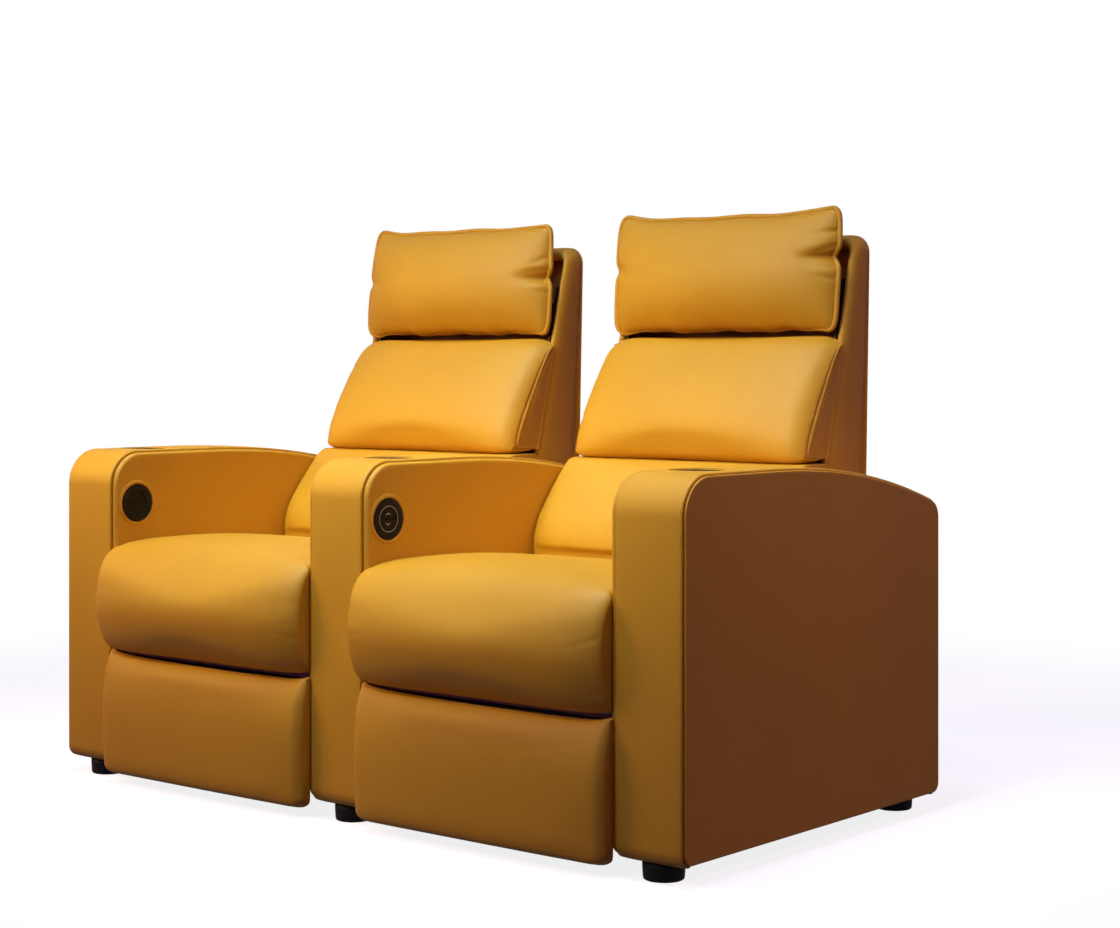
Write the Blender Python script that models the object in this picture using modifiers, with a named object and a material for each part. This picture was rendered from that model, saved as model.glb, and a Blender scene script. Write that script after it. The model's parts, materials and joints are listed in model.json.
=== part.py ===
"""Two-seat reclining loveseat with padded arms, cup holders and powered footrests.

Metres, +Z up. The seats face -Y. The origin is on the floor under the middle of the loveseat.
Side views are drawn as (y, z) with y measured backwards from the front faces of the arms.
"""
from math import atan2, cos, pi, radians, sin

import bmesh
import bpy
from mathutils import Matrix, Vector

# Clearances
gap = 0.0003            # between pieces that rest on each other
pin_clearance = 0.0003  # round a pin in its hole
side_clearance = 0.004  # each side of a piece that moves between two arms

# Overall layout
front_y = -0.3685       # front faces of the arms, so that the whole stands centred on the origin
seat_width = 0.550      # clear width between two arms
arm_width = 0.150
pitch = seat_width + arm_width

# Arms
arm_lift = 0.0305       # underside of the arms, carried by the feet
arm_top = 0.650
arm_depth = 0.795
arm_front_radius = 0.068
arm_foot_radius = 0.022
arm_rear_radius = 0.036
arm_flat_end = 0.250    # the top is level up to here
arm_fall = 0.074        # and drops by this much at its rear end
arm_fall_power = 2.2
panel_thickness = 0.012  # padded side panels
panel_inset = 0.0008     # the panels' edge lies this far inside the band's surface
panel_roll = 0.006       # rounding of the panels' outer edge
band_thickness = 0.012   # padded strip round the arm
post_depth = 0.075       # solid wooden posts at the front and rear of an arm core
core_wall = 0.014

# Feet
foot_radius = 0.035
foot_taper = 0.002
foot_edge = 0.003
foot_front_y = 0.047
foot_rear_inset = 0.040  # from the arm's rear face to the rear foot's middle

# Cup holders
cup_y = 0.137
cup_radius = 0.0445     # inside of the liner
cup_wall = 0.0022
cup_depth = 0.078
cup_lip = 0.0035        # how far the lip reaches past the liner
cup_lip_height = 0.0016

# Controls in the inner faces of the left and middle arms
control_y = 0.058
control_z = 0.5455
control_radius = 0.0375
control_proud = 0.0015
button_radius = 0.0215
button_height = 0.0045
button_split = 0.0012
button_roll = 0.001
button_travel = 0.0015
button_floor = 0.0065   # depth of the bezel's recess

# Seat frame
plate_thickness = 0.004
tube_radius = 0.0125
frame_front_y = 0.052
frame_top = 0.2477
frame_bottom = 0.118
plate_lip = 0.022       # metal round the side plate's bearings
rail_width = 0.030      # front rail, a flat bar
rail_thickness = 0.008
rail_drop = 0.004       # the front rail lies this far under the deck
vent_radius = 0.030
front_rail_y = 0.076
mid_tube_y = 0.440
rear_tube_y = 0.600
rear_tube_z = 0.148
deck_front_y = 0.026
deck_rear_y = 0.500
deck_thickness = 0.012

# Footrest linkage, in its closed place
crank_pivot = (0.278, 0.203)
elbow_pivot = (0.366, 0.054)
panel_pivot = (0.032, 0.214)
crank_turn = radians(90)
link_thickness = 0.005
link_radius = 0.0135
link_spacing = 0.003    # between the frame's side plate, the rear link, the front link and the ear
pin_radius = 0.005
stud_radius = 0.004

# Footrest
footrest_bottom = 0.018
footrest_top = 0.2505
board_thickness = 0.012
board_rear_y = 0.0135
board_inset = 0.014
pad_front_y = -0.026
pad_crown = 0.005
pad_corner = 0.018
ear_thickness = 0.005

# Motor
lever_length = 0.070
lever_x = 0.024
rod_radius = 0.010
rod_eye_radius = 0.014
tube_outer_radius = 0.0165
tube_front_y = 0.372
gearbox_front_y = 0.500
gearbox_size = (0.064, 0.058, 0.078)
motor_radius = 0.027
motor_length = 0.105

# Back
hinge = (0.585, 0.235)
hinge_radius = 0.006
shell_bottom = 0.270
skirt_bottom = 0.160    # only the rear wall goes down to here
shell_top = 1.068
plane_y = 0.5545        # front plane of the shell at the hinge's height
plane_slope = 0.2475
rear_low_y = 0.776
rear_high_y = 0.801
shell_wall = 0.022
rear_wall = 0.028
shell_roll = 0.006
shell_rear_radius = 0.024
shell_front_radius = 0.012
upright_width = 0.030
upright_top = 0.985
rail_size = 0.020
rail_heights = (0.36, 0.62, 0.94)
upright_behind = 0.004  # from the cushions to the uprights
upright_foot = 0.022    # metal round the hinge stud

# Cushions
cushion_width = seat_width - 2 * side_clearance
seat_nose_y = -0.053
seat_rear_y = 0.4490
seat_top = 0.486
seat_top_rear = 0.449
seat_crown = 0.008
seat_edge = 0.013       # rounding of the rear and front edges
seat_bow = 0.010        # the nose comes forward by this much at the middle
seat_nose = (           # (behind the nose, share of the height), from the underside up
    (0.040, 0.0), (0.008, 0.10), (-0.004, 0.27), (0.0, 0.54), (0.012, 0.80))
lumbar_front_y = 0.4510
lumbar_bottom = 0.286
lumbar_top = 0.640
lumbar_profile = (      # (behind the front, above the bottom), from the underside up and over
    (0.045, 0.0), (0.008, 0.030), (0.0, 0.075), (-0.0005, 0.150), (-0.007, 0.203),
    (0.020, 0.266), (0.061, 0.317), (0.109, 0.350), (0.159, 0.354))
back_bottom = 0.6410
back_top = 0.874
back_profile = (        # (share of the height, thickness, share of the crown), upwards
    (0.0, 0.056, 0.0), (0.017, 0.088, 0.0), (0.112, 0.092, 0.5), (0.253, 0.082, 0.9),
    (0.489, 0.067, 1.0), (0.704, 0.052, 0.9), (0.923, 0.034, 0.55), (0.991, 0.018, 0.15))
back_crown = 0.030      # extra fullness at the middle of the width
pillow_bottom = 0.862
pillow_top = 1.124
pillow_ear = 0.026
pillow_seam_y = 0.694   # the pillow's seam at its lower edge
pillow_lean = 0.150
pillow_inset = 0.005    # narrower than the other cushions at each side
pillow_front = 0.064    # fullness ahead of the seam


def fresh_scene():
    """Clear every object and return the collections for the parts and for the cutters."""
    for obj in list(bpy.data.objects):
        bpy.data.objects.remove(obj)
    parts = bpy.data.collections.new("reclining_loveseat")
    helpers = bpy.data.collections.new("cutters")
    bpy.context.scene.collection.children.link(parts)
    bpy.context.scene.collection.children.link(helpers)
    return parts, helpers


parts, helpers = fresh_scene()
materials = {}


def material(name, colour, roughness, metallic=0.0):
    """A plain Principled material."""
    made = bpy.data.materials.new(name)
    made.use_nodes = True
    shader = made.node_tree.nodes["Principled BSDF"]
    shader.inputs["Base Color"].default_value = (*colour, 1.0)
    shader.inputs["Roughness"].default_value = roughness
    shader.inputs["Metallic"].default_value = metallic
    materials[name] = made


material("leather", (0.62, 0.34, 0.045), 0.42)
material("black_plastic", (0.012, 0.012, 0.012), 0.45)
material("button_plastic", (0.035, 0.035, 0.038), 0.35)
material("plywood", (0.52, 0.36, 0.20), 0.70)
material("black_steel", (0.03, 0.03, 0.032), 0.40, 0.6)
material("bright_steel", (0.55, 0.55, 0.56), 0.30, 1.0)


def add_empty(name, place, parent=None):
    """An empty at a place given in its parent's own coordinates."""
    empty = bpy.data.objects.new(name, None)
    empty.empty_display_size = 0.05
    empty.location = place
    empty.parent = parent
    parts.objects.link(empty)
    return empty


def finish(name, mesh, look, parent, place=(0, 0, 0), smooth=30):
    """Put a mesh in the scene as a part, or as a cutter where look is None."""
    obj = bpy.data.objects.new(name, mesh)
    obj.parent = parent
    obj.location = place
    if look:
        mesh.materials.append(materials[look])
        parts.objects.link(obj)
        mesh.shade_smooth()
        mesh.set_sharp_from_angle(angle=radians(smooth))
    else:
        obj.hide_render = True
        obj.display_type = 'WIRE'
        helpers.objects.link(obj)
    return obj


def from_curve(curve):
    """The mesh of a filled curve, with its loose caps welded on."""
    guide = bpy.data.objects.new("guide", curve)
    parts.objects.link(guide)
    bpy.context.view_layer.update()
    graph = bpy.context.evaluated_depsgraph_get()
    mesh = bpy.data.meshes.new_from_object(guide.evaluated_get(graph))
    bpy.data.objects.remove(guide)
    work = bmesh.new()
    work.from_mesh(mesh)
    bmesh.ops.remove_doubles(work, verts=work.verts, dist=1e-6)
    bmesh.ops.recalc_face_normals(work, faces=work.faces)
    work.to_mesh(mesh)
    work.free()
    return mesh


def side_plate(name, outlines, thickness, x, look, parent, place=(0, 0, 0)):
    """A flat piece cut to (y, z) outlines, the first one its edge and the rest holes, centred on x."""
    curve = bpy.data.curves.new(name, 'CURVE')
    curve.dimensions = '2D'
    curve.fill_mode = 'BOTH'
    curve.extrude = thickness / 2
    for outline in outlines:
        spline = curve.splines.new('POLY')
        spline.points.add(len(outline) - 1)
        for point, (y, z) in zip(spline.points, outline):
            point.co = (y, z, 0.0, 1.0)
        spline.use_cyclic_u = True
    mesh = from_curve(curve)
    # The curve's X, Y and Z become the part's Y, Z and X.
    mesh.transform(Matrix(((0, 0, 1, x), (1, 0, 0, 0), (0, 1, 0, 0), (0, 0, 0, 1))))
    return finish(name, mesh, look, parent, place)


def ring(centre, radius, steps=16, start=0.0, turn=2 * pi):
    """Points of a circle, or of an arc where turn is under a full one."""
    whole = abs(turn) > 2 * pi - 1e-6
    count = steps if whole else steps + 1
    return [(centre[0] + radius * cos(start + turn * i / steps),
             centre[1] + radius * sin(start + turn * i / steps)) for i in range(count)]


def rounded(corners, steps=4):
    """An outline through (y, z, radius) corners, each rounded by an arc."""
    outline = []
    count = len(corners)
    for i, (y, z, radius) in enumerate(corners):
        here = Vector((y, z))
        before = (Vector(corners[i - 1][:2]) - here).normalized()
        after = (Vector(corners[(i + 1) % count][:2]) - here).normalized()
        if radius <= 0:
            outline.append((y, z))
            continue
        half = before.angle(after) / 2
        reach = radius / abs(sin(half)) * cos(half)
        centre = here + (before + after).normalized() * (radius / sin(half))
        first = here + before * reach - centre
        last = here + after * reach - centre
        start = atan2(first.y, first.x)
        turn = (atan2(last.y, last.x) - start + pi) % (2 * pi) - pi
        outline += [(centre.x + radius * cos(start + turn * k / steps),
                     centre.y + radius * sin(start + turn * k / steps)) for k in range(steps + 1)]
    return outline


def drawn_in(outline, distance):
    """A closed outline moved inwards by a distance, for outlines that run clockwise in (y, z)."""
    moved = []
    count = len(outline)
    for i, (y, z) in enumerate(outline):
        back = outline[i - 1]
        ahead = outline[(i + 1) % count]
        into = Vector((y - back[0], z - back[1])).normalized()
        out = Vector((ahead[0] - y, ahead[1] - z)).normalized()
        normal_in = Vector((into.y, -into.x))
        normal_out = Vector((out.y, -out.x))
        middle = (normal_in + normal_out).normalized()
        shift = middle * (distance / max(0.3, middle.dot(normal_in)))
        moved.append((y + shift.x, z + shift.y))
    return moved


def bar(name, start, end, radius, look, parent, place=(0, 0, 0), steps=12):
    """A round bar between two points."""
    start, end = Vector(start), Vector(end)
    along = end - start
    work = bmesh.new()
    turn = Matrix.Translation((start + end) / 2) @ along.to_track_quat('Z', 'Y').to_matrix().to_4x4()
    bmesh.ops.create_cone(work, cap_ends=True, segments=steps, radius1=radius, radius2=radius,
                          depth=along.length, matrix=turn)
    mesh = bpy.data.meshes.new(name)
    work.to_mesh(mesh)
    work.free()
    return finish(name, mesh, look, parent, place)


def block(name, low, high, look, parent, place=(0, 0, 0)):
    """A box between two corners."""
    low, high = Vector(low), Vector(high)
    size = high - low
    work = bmesh.new()
    bmesh.ops.create_cube(work, size=1.0, matrix=Matrix.Translation((low + high) / 2)
                          @ Matrix.Diagonal((*size, 1.0)))
    mesh = bpy.data.meshes.new(name)
    work.to_mesh(mesh)
    work.free()
    return finish(name, mesh, look, parent, place)


def turned(name, profile, look, parent, place, steps=24, turn=(0, 0, 0)):
    """A turned piece from (radius, height) points that run down its outer side and back up."""
    mesh = bpy.data.meshes.new(name)
    edges = [(i, i + 1) for i in range(len(profile) - 1)]
    mesh.from_pydata([(r, 0.0, h) for r, h in profile], edges, [])
    obj = finish(name, mesh, look, parent, place)
    obj.rotation_euler = turn
    screw = obj.modifiers.new("turn", 'SCREW')
    screw.steps = steps
    screw.render_steps = steps
    screw.use_merge_vertices = True
    screw.merge_threshold = 1e-5
    screw.use_smooth_shade = True
    return obj


def boolean(obj, other, operation):
    """Cut a piece with a helper, or join the helper to it."""
    change = obj.modifiers.new(other.name, 'BOOLEAN')
    change.operation = operation
    change.solver = 'EXACT'
    change.object = other


def cut(obj, *cutters):
    for cutter in cutters:
        boolean(obj, cutter, 'DIFFERENCE')


def join(obj, *others):
    for other in others:
        boolean(obj, other, 'UNION')


def bevel_rim(obj, faces_at, width, segments):
    """Round the edges of a flat piece on each face that lies at one of the given values of x."""
    mesh = obj.data
    weights = mesh.attributes.new("bevel_weight_edge", 'FLOAT', 'EDGE')
    faces = bmesh.new()
    faces.from_mesh(mesh)
    faces.edges.ensure_lookup_table()
    for edge in faces.edges:
        turns = len(edge.link_faces) == 2 and edge.calc_face_angle() > radians(45)
        flat = any(all(abs(vertex.co.x - x) < 1e-6 for vertex in edge.verts) for x in faces_at)
        weights.data[edge.index].value = 1.0 if flat and turns else 0.0
    faces.free()
    bevel = obj.modifiers.new("rim", 'BEVEL')
    bevel.limit_method = 'WEIGHT'
    bevel.width = width
    bevel.segments = segments


def soft(name, half_width, stations, section, parent, place=(0, 0, 0), end=0):
    """A soft form lofted across its width, from a coarse cage smoothed by subdivision.

    section(u) gives the cage's (y, z) points at u, from -1 to 1 across the width. The two ends
    are closed by a ladder of faces that starts at the section's point number end.
    """
    work = bmesh.new()
    rings = []
    for u in stations:
        rings.append([work.verts.new((half_width * u, y, z)) for y, z in section(u)])
    count = len(rings[0])
    for near, far in zip(rings, rings[1:]):
        for i in range(count):
            j = (i + 1) % count
            work.faces.new((near[i], near[j], far[j], far[i]))
    for side in (rings[0], rings[-1]):
        for i in range((count + 1) // 2):
            rung = [(end + i) % count, (end + i + 1) % count, (end - i - 1) % count, (end - i) % count]
            corners = [side[k] for k in dict.fromkeys(rung)]
            if len(corners) > 2:
                work.faces.new(corners)
    bmesh.ops.recalc_face_normals(work, faces=work.faces)
    mesh = bpy.data.meshes.new(name)
    work.to_mesh(mesh)
    work.free()
    obj = finish(name, mesh, "leather", parent, place, smooth=60)
    smooth = obj.modifiers.new("soft", 'SUBSURF')
    smooth.levels = 1
    smooth.render_levels = 1
    return obj


# Side view of an arm

def arm_outline():
    """The arm's outline, clockwise in (y, z): up the front, over the falling top and down the rear."""
    front = ring((arm_foot_radius, arm_lift + arm_foot_radius), arm_foot_radius, 4, -pi / 2, -pi / 2)
    top = ring((arm_front_radius, arm_top - arm_front_radius), arm_front_radius, 7, pi, -pi / 2)
    run = arm_depth - arm_rear_radius - arm_flat_end
    tilt = atan2(arm_fall * arm_fall_power / run, 1.0)
    rear_start = arm_depth - arm_rear_radius * (1 - sin(tilt))
    fall = []
    for i in range(9):
        share = i / 8
        y = arm_flat_end + share * (rear_start - arm_flat_end)
        fall.append((y, arm_top - arm_fall * share ** arm_fall_power))
    centre = (rear_start - arm_rear_radius * sin(tilt), fall[-1][1] - arm_rear_radius * cos(tilt))
    shoulder = ring(centre, arm_rear_radius, 5, pi / 2 - tilt, tilt - pi / 2)[1:]
    heel = ring((arm_depth - arm_foot_radius, arm_lift + arm_foot_radius), arm_foot_radius, 4, 0, -pi / 2)
    return front + top + fall + shoulder + heel


def band_outline(outline):
    """The strip between an outline and the same one drawn in, open along the underside."""
    inner = drawn_in(outline, band_thickness)
    height = arm_lift + band_thickness
    ends = [(arm_foot_radius, height), (arm_depth - arm_foot_radius, height)]
    return outline + [ends[1]] + list(reversed(inner[1:-1])) + [ends[0]]


def core_outline(outline):
    """The wooden core's outline, inside the band and down to the arm's underside between its ends."""
    inner = drawn_in(outline, band_thickness + gap)
    front = arm_foot_radius + gap
    rear = arm_depth - arm_foot_radius - gap
    height = arm_lift + band_thickness + gap
    return [(front, arm_lift), (front, height)] + inner[1:-1] + [(rear, height), (rear, arm_lift)]


def cavity_outline():
    """The hollow of the core, between its posts and under its top."""
    front = band_thickness + post_depth
    rear = arm_depth - band_thickness - post_depth
    under_cup = arm_top - band_thickness - cup_depth - core_wall
    past_cup = cup_y + cup_radius + core_wall
    top = arm_top - band_thickness - core_wall
    low_top = arm_top - arm_fall - band_thickness - core_wall
    below = arm_lift - core_wall
    return [(front, below), (front, under_cup), (past_cup, under_cup), (past_cup, top),
            (arm_flat_end, top), (rear, low_top), (rear, below)]


def build_arm(name, x, panel_holes):
    """One padded arm: wooden core, leather band, two side panels, cup holder and two feet."""
    origin = add_empty(f"{name}_origin", (x, front_y, 0))
    outline = arm_outline()
    band_half = arm_width / 2 - panel_thickness - gap

    band = side_plate(f"{name}_band", [band_outline(outline)], 2 * band_half, 0, "leather", origin)
    core_half = band_half
    core = side_plate(f"{name}_core", [core_outline(outline)], 2 * core_half, 0, "plywood", origin)
    hollow = side_plate(f"{name}_hollow", [cavity_outline()], 2 * (core_half - core_wall), 0,
                        None, origin)
    cut(core, hollow)

    liner = cup_radius + cup_wall
    bore = bar(f"{name}_cup_bore", (0, cup_y, arm_top - cup_depth - gap), (0, cup_y, arm_top + cup_wall),
               liner + gap, None, origin, steps=24)
    cut(band, bore)
    cut(core, bore)
    cup_profile = [
        (0.0, arm_top - cup_depth + cup_wall), (cup_radius - cup_wall, arm_top - cup_depth + cup_wall),
        (cup_radius, arm_top - cup_depth + 2 * cup_wall), (cup_radius, arm_top + cup_lip_height),
        (liner + cup_lip - cup_lip_height / 2, arm_top + cup_lip_height),
        (liner + cup_lip, arm_top + gap), (liner, arm_top + gap),
        (liner, arm_top - cup_depth), (0.0, arm_top - cup_depth)]
    turned(f"{name}_cup_holder", cup_profile, "black_plastic", origin, (0, cup_y, 0))

    for side, sign in (("left", -1), ("right", 1)):
        outer = sign * arm_width / 2
        middle = outer - sign * panel_thickness / 2
        holes = [ring((control_y, control_z), control_radius + gap, 24)] if side in panel_holes else []
        edge = drawn_in(outline, panel_inset)
        panel = side_plate(f"{name}_panel_{side}", [edge] + holes, panel_thickness, middle,
                           "leather", origin)
        bevel_rim(panel, [outer], panel_roll, 2)

    foot_height = arm_lift - gap
    foot_profile = [
        (0.0, foot_height), (foot_radius, foot_height), (foot_radius - foot_taper, foot_edge),
        (foot_radius - foot_taper - foot_edge, 0.0), (0.0, 0.0)]
    for end, y in (("front", foot_front_y), ("rear", arm_depth - foot_rear_inset)):
        turned(f"{name}_foot_{end}", foot_profile, "black_plastic", origin, (0, y, 0), steps=20)
    return origin


def half_disc(sign):
    """One half of the round control's centre, above or below the split."""
    edge = button_split / 2
    start = atan2(edge, button_radius)
    arc = ring((0, 0), button_radius, 10, start, pi - 2 * start)
    return [(control_y + y, control_z + sign * z) for y, z in arc]


def build_control(name, arm_origin):
    """A bezel in the arm's right-hand panel with an upper and a lower push button."""
    face = arm_width / 2
    back = face - panel_thickness + gap
    floor = face - button_floor
    steps = 24
    well = (button_radius + gap) / cos(pi / steps)
    profile = [
        (0.0, floor), (well, floor), (well, face + control_proud), (control_radius - control_proud,
         face + control_proud), (control_radius, face), (control_radius, back), (0.0, back)]
    turned(f"{name}_bezel", profile, "black_plastic", arm_origin, (0, control_y, control_z),
           steps, turn=(0, pi / 2, 0))
    for half, sign in (("upper", 1), ("lower", -1)):
        slider = add_empty(f"{name}_{half}_slide", (floor, control_y, control_z), arm_origin)
        low = floor + gap + button_travel
        middle = low + button_height / 2
        button = side_plate(f"{name}_button_{half}", [half_disc(sign)], button_height, middle,
                            "button_plastic", slider, (-floor, -control_y, -control_z))
        bevel_rim(button, [low + button_height], button_roll, 1)


# Places across a seat, outwards from its middle

half_bay = seat_width / 2
plate_outer = half_bay - gap
plate_inner = plate_outer - plate_thickness
rear_link_outer = plate_inner - link_spacing
rear_link_inner = rear_link_outer - link_thickness
front_link_outer = rear_link_inner - link_spacing
front_link_inner = front_link_outer - link_thickness
ear_outer = front_link_inner - link_spacing
ear_inner = ear_outer - ear_thickness


def link_outline(first, second, radius):
    """A flat link: two round ends joined by straight sides."""
    along = atan2(second[1] - first[1], second[0] - first[0])
    return (ring(second, radius, 8, along - pi / 2, pi)
            + ring(first, radius, 8, along + pi / 2, pi))


def frame_outline():
    """Side plate of the seat frame, from the front rail back to the recline hinge."""
    hinge_y, hinge_z = hinge
    lip = plate_lip
    return rounded([
        (frame_front_y, frame_top, 0.0),
        (deck_rear_y, frame_top, lip / 2),
        (hinge_y - lip, hinge_z + lip, 0.7 * lip),
        (hinge_y + lip, hinge_z + lip, 0.9 * lip),
        (rear_tube_y + tube_radius + lip, frame_bottom, 0.9 * lip),
        (crank_pivot[0] + 0.25 * (rear_tube_y - crank_pivot[0]), frame_bottom, 0.9 * lip),
        (crank_pivot[0], crank_pivot[1] - 2 * lip, 1.8 * lip),
        (frame_front_y + 2 * lip, frame_top - 2 * lip, 0.9 * lip),
        (frame_front_y, frame_top - lip, 0.4 * lip)], 3)


def frame_window():
    """Opening in the side plate between the crank's bearing and the rear tube."""
    front = crank_pivot[0] + 3.2 * plate_lip
    rear = rear_tube_y - 2.3 * plate_lip
    top = frame_top - 1.6 * plate_lip
    bottom = frame_bottom + 1.1 * plate_lip
    corner = plate_lip / 2
    return rounded([(front, top, corner), (rear - 1.8 * plate_lip, top, corner),
                    (rear, bottom, corner), (front + 1.4 * plate_lip, bottom, corner)], 3)


def build_base(name, origin):
    """Welded seat frame: two side plates, a front rail and two cross tubes, with a plywood deck."""
    bearing = ring(crank_pivot, pin_radius + pin_clearance, 12)
    hinge_hole = ring(hinge, hinge_radius + pin_clearance, 12)
    outlines = [frame_outline(), bearing, hinge_hole, frame_window()]
    middle = (plate_outer + plate_inner) / 2
    frame = side_plate(f"{name}_base_frame", outlines, plate_thickness, -middle, "black_steel", origin)
    other = side_plate(f"{name}_frame_plate", outlines, plate_thickness, middle, None, origin)
    reach = (plate_outer + plate_inner) / 2
    mid_z = frame_top - tube_radius - rail_drop
    rail_top = frame_top - rail_drop
    rail = block(f"{name}_front_rail", (-reach, front_rail_y - rail_width / 2, rail_top - rail_thickness),
                 (reach, front_rail_y + rail_width / 2, rail_top), None, origin)
    mid = bar(f"{name}_mid_tube", (-reach, mid_tube_y, mid_z), (reach, mid_tube_y, mid_z),
              tube_radius, None, origin, steps=10)
    rear = bar(f"{name}_rear_tube", (-reach, rear_tube_y, rear_tube_z), (reach, rear_tube_y, rear_tube_z),
               tube_radius, None, origin, steps=10)
    join(frame, other, rail, mid, rear)
    deck = block(f"{name}_seat_deck", (-plate_outer, deck_front_y, frame_top + gap),
                 (plate_outer, deck_rear_y, frame_top + gap + deck_thickness), "plywood", origin)
    for sign in (-1, 1):
        x, y = sign * seat_width / 5, (deck_front_y + deck_rear_y) / 2
        vent = bar(f"{name}_vent_{sign}", (x, y, frame_top), (x, y, frame_top + 2 * deck_thickness),
                   vent_radius, None, origin, steps=16)
        cut(deck, vent)


def build_linkage(name, origin):
    """Crank, front links and footrest, each under an empty on its own pivot. Returns the crank's empty."""
    crank_axis = add_empty(f"{name}_crank_axis", (0, *crank_pivot), origin)
    back_to_seat = (0, -crank_pivot[0], -crank_pivot[1])
    crank = bar(f"{name}_footrest_crank", (-rear_link_inner - 0.001, *crank_pivot),
                (rear_link_inner + 0.001, *crank_pivot), tube_radius, "black_steel", crank_axis,
                back_to_seat, steps=12)
    mid_rear = (rear_link_outer + rear_link_inner) / 2
    for sign in (-1, 1):
        arm = side_plate(f"{name}_rear_link_{sign}", [link_outline(crank_pivot, elbow_pivot, link_radius)],
                         link_thickness, sign * mid_rear, None, crank_axis, back_to_seat)
        pin = bar(f"{name}_crank_pin_{sign}", (sign * mid_rear, *crank_pivot),
                  (sign * (plate_outer - gap), *crank_pivot), pin_radius, None, crank_axis,
                  back_to_seat, steps=12)
        stud = bar(f"{name}_elbow_stud_{sign}", (sign * mid_rear, *elbow_pivot),
                   (sign * (front_link_inner - 0.001), *elbow_pivot), stud_radius, None, crank_axis,
                   back_to_seat, steps=12)
        join(crank, arm, pin, stud)
    # The motor's lever hangs down and back, half of the crank's turn behind straight down.
    lever_angle = -pi / 2 + crank_turn / 2
    lever_end = (crank_pivot[0] + lever_length * cos(lever_angle),
                 crank_pivot[1] + lever_length * sin(lever_angle))
    lever = side_plate(f"{name}_lever", [link_outline(crank_pivot, lever_end, link_radius)],
                       link_thickness, lever_x, None, crank_axis, back_to_seat)
    join(crank, lever)

    elbow_axis = add_empty(f"{name}_elbow_axis", (0, elbow_pivot[0] - crank_pivot[0],
                                                  elbow_pivot[1] - crank_pivot[1]), crank_axis)
    mid_front = (front_link_outer + front_link_inner) / 2
    for side, sign in (("left", -1), ("right", 1)):
        hole = stud_radius + pin_clearance
        outlines = [link_outline(elbow_pivot, panel_pivot, link_radius),
                    ring(elbow_pivot, hole, 12), ring(panel_pivot, hole, 12)]
        side_plate(f"{name}_front_link_{side}", outlines, link_thickness, sign * mid_front,
                   "black_steel", elbow_axis, (0, -elbow_pivot[0], -elbow_pivot[1]))

    panel_axis = add_empty(f"{name}_panel_axis", (0, panel_pivot[0] - elbow_pivot[0],
                                                  panel_pivot[1] - elbow_pivot[1]), elbow_axis)
    build_footrest(name, panel_axis, (0, -panel_pivot[0], -panel_pivot[1]))
    return lever_end


def build_footrest(name, axis, place):
    """Plywood board with two ears for the links, and the pad on its front."""
    board_half = cushion_width / 2 - board_inset
    board_front = board_rear_y - board_thickness
    board = block(f"{name}_footrest_board", (-board_half, board_front, footrest_bottom + board_inset),
                  (board_half, board_rear_y, footrest_top - board_inset), "plywood", axis, place)
    mid_ear = (ear_outer + ear_inner) / 2
    ear_reach = 0.040
    for sign in (-1, 1):
        inside = board_rear_y - board_thickness / 2
        ear_outline = [(inside, panel_pivot[1] - ear_reach)] + [
            (inside, min(panel_pivot[1] + link_radius, footrest_top - 2 * board_inset))]
        ear_outline += ring(panel_pivot, link_radius * 0.8, 8, pi / 2, -pi * 0.75)
        ear = side_plate(f"{name}_ear_{sign}", [ear_outline], ear_thickness, sign * mid_ear, None,
                         axis, place)
        stud = bar(f"{name}_ear_stud_{sign}", (sign * mid_ear, *panel_pivot),
                   (sign * (front_link_outer + 0.001), *panel_pivot), stud_radius, None, axis,
                   place, steps=12)
        join(board, ear, stud)

    rear = board_front - gap

    def pad_section(u):
        """A flat back, rounded edges and a front that is crowned across and upwards."""
        ends = abs(u) ** 12
        height = footrest_top - footrest_bottom
        middle = (footrest_top + footrest_bottom) / 2
        tall = height / 2 - pad_corner * 0.15 * ends
        front = pad_front_y - pad_crown * (1 - u ** 2) + pad_corner * 0.4 * ends
        points = [(rear, tall), (rear, 0.0), (rear, -tall),
                  (0.5 * (rear + front), -tall), (front + 0.25 * pad_corner, -tall * 0.99),
                  (front, -tall * 0.88), (front - pad_crown * 0.5, 0.0), (front, tall * 0.88),
                  (front + 0.25 * pad_corner, tall * 0.99), (0.5 * (rear + front), tall)]
        return [(y, middle + z) for y, z in points]

    soft(f"{name}_footrest_pad", cushion_width / 2, (-1.0, -0.975, -0.5, 0.0, 0.5, 0.975, 1.0),
         pad_section, axis, place, end=9)


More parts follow.
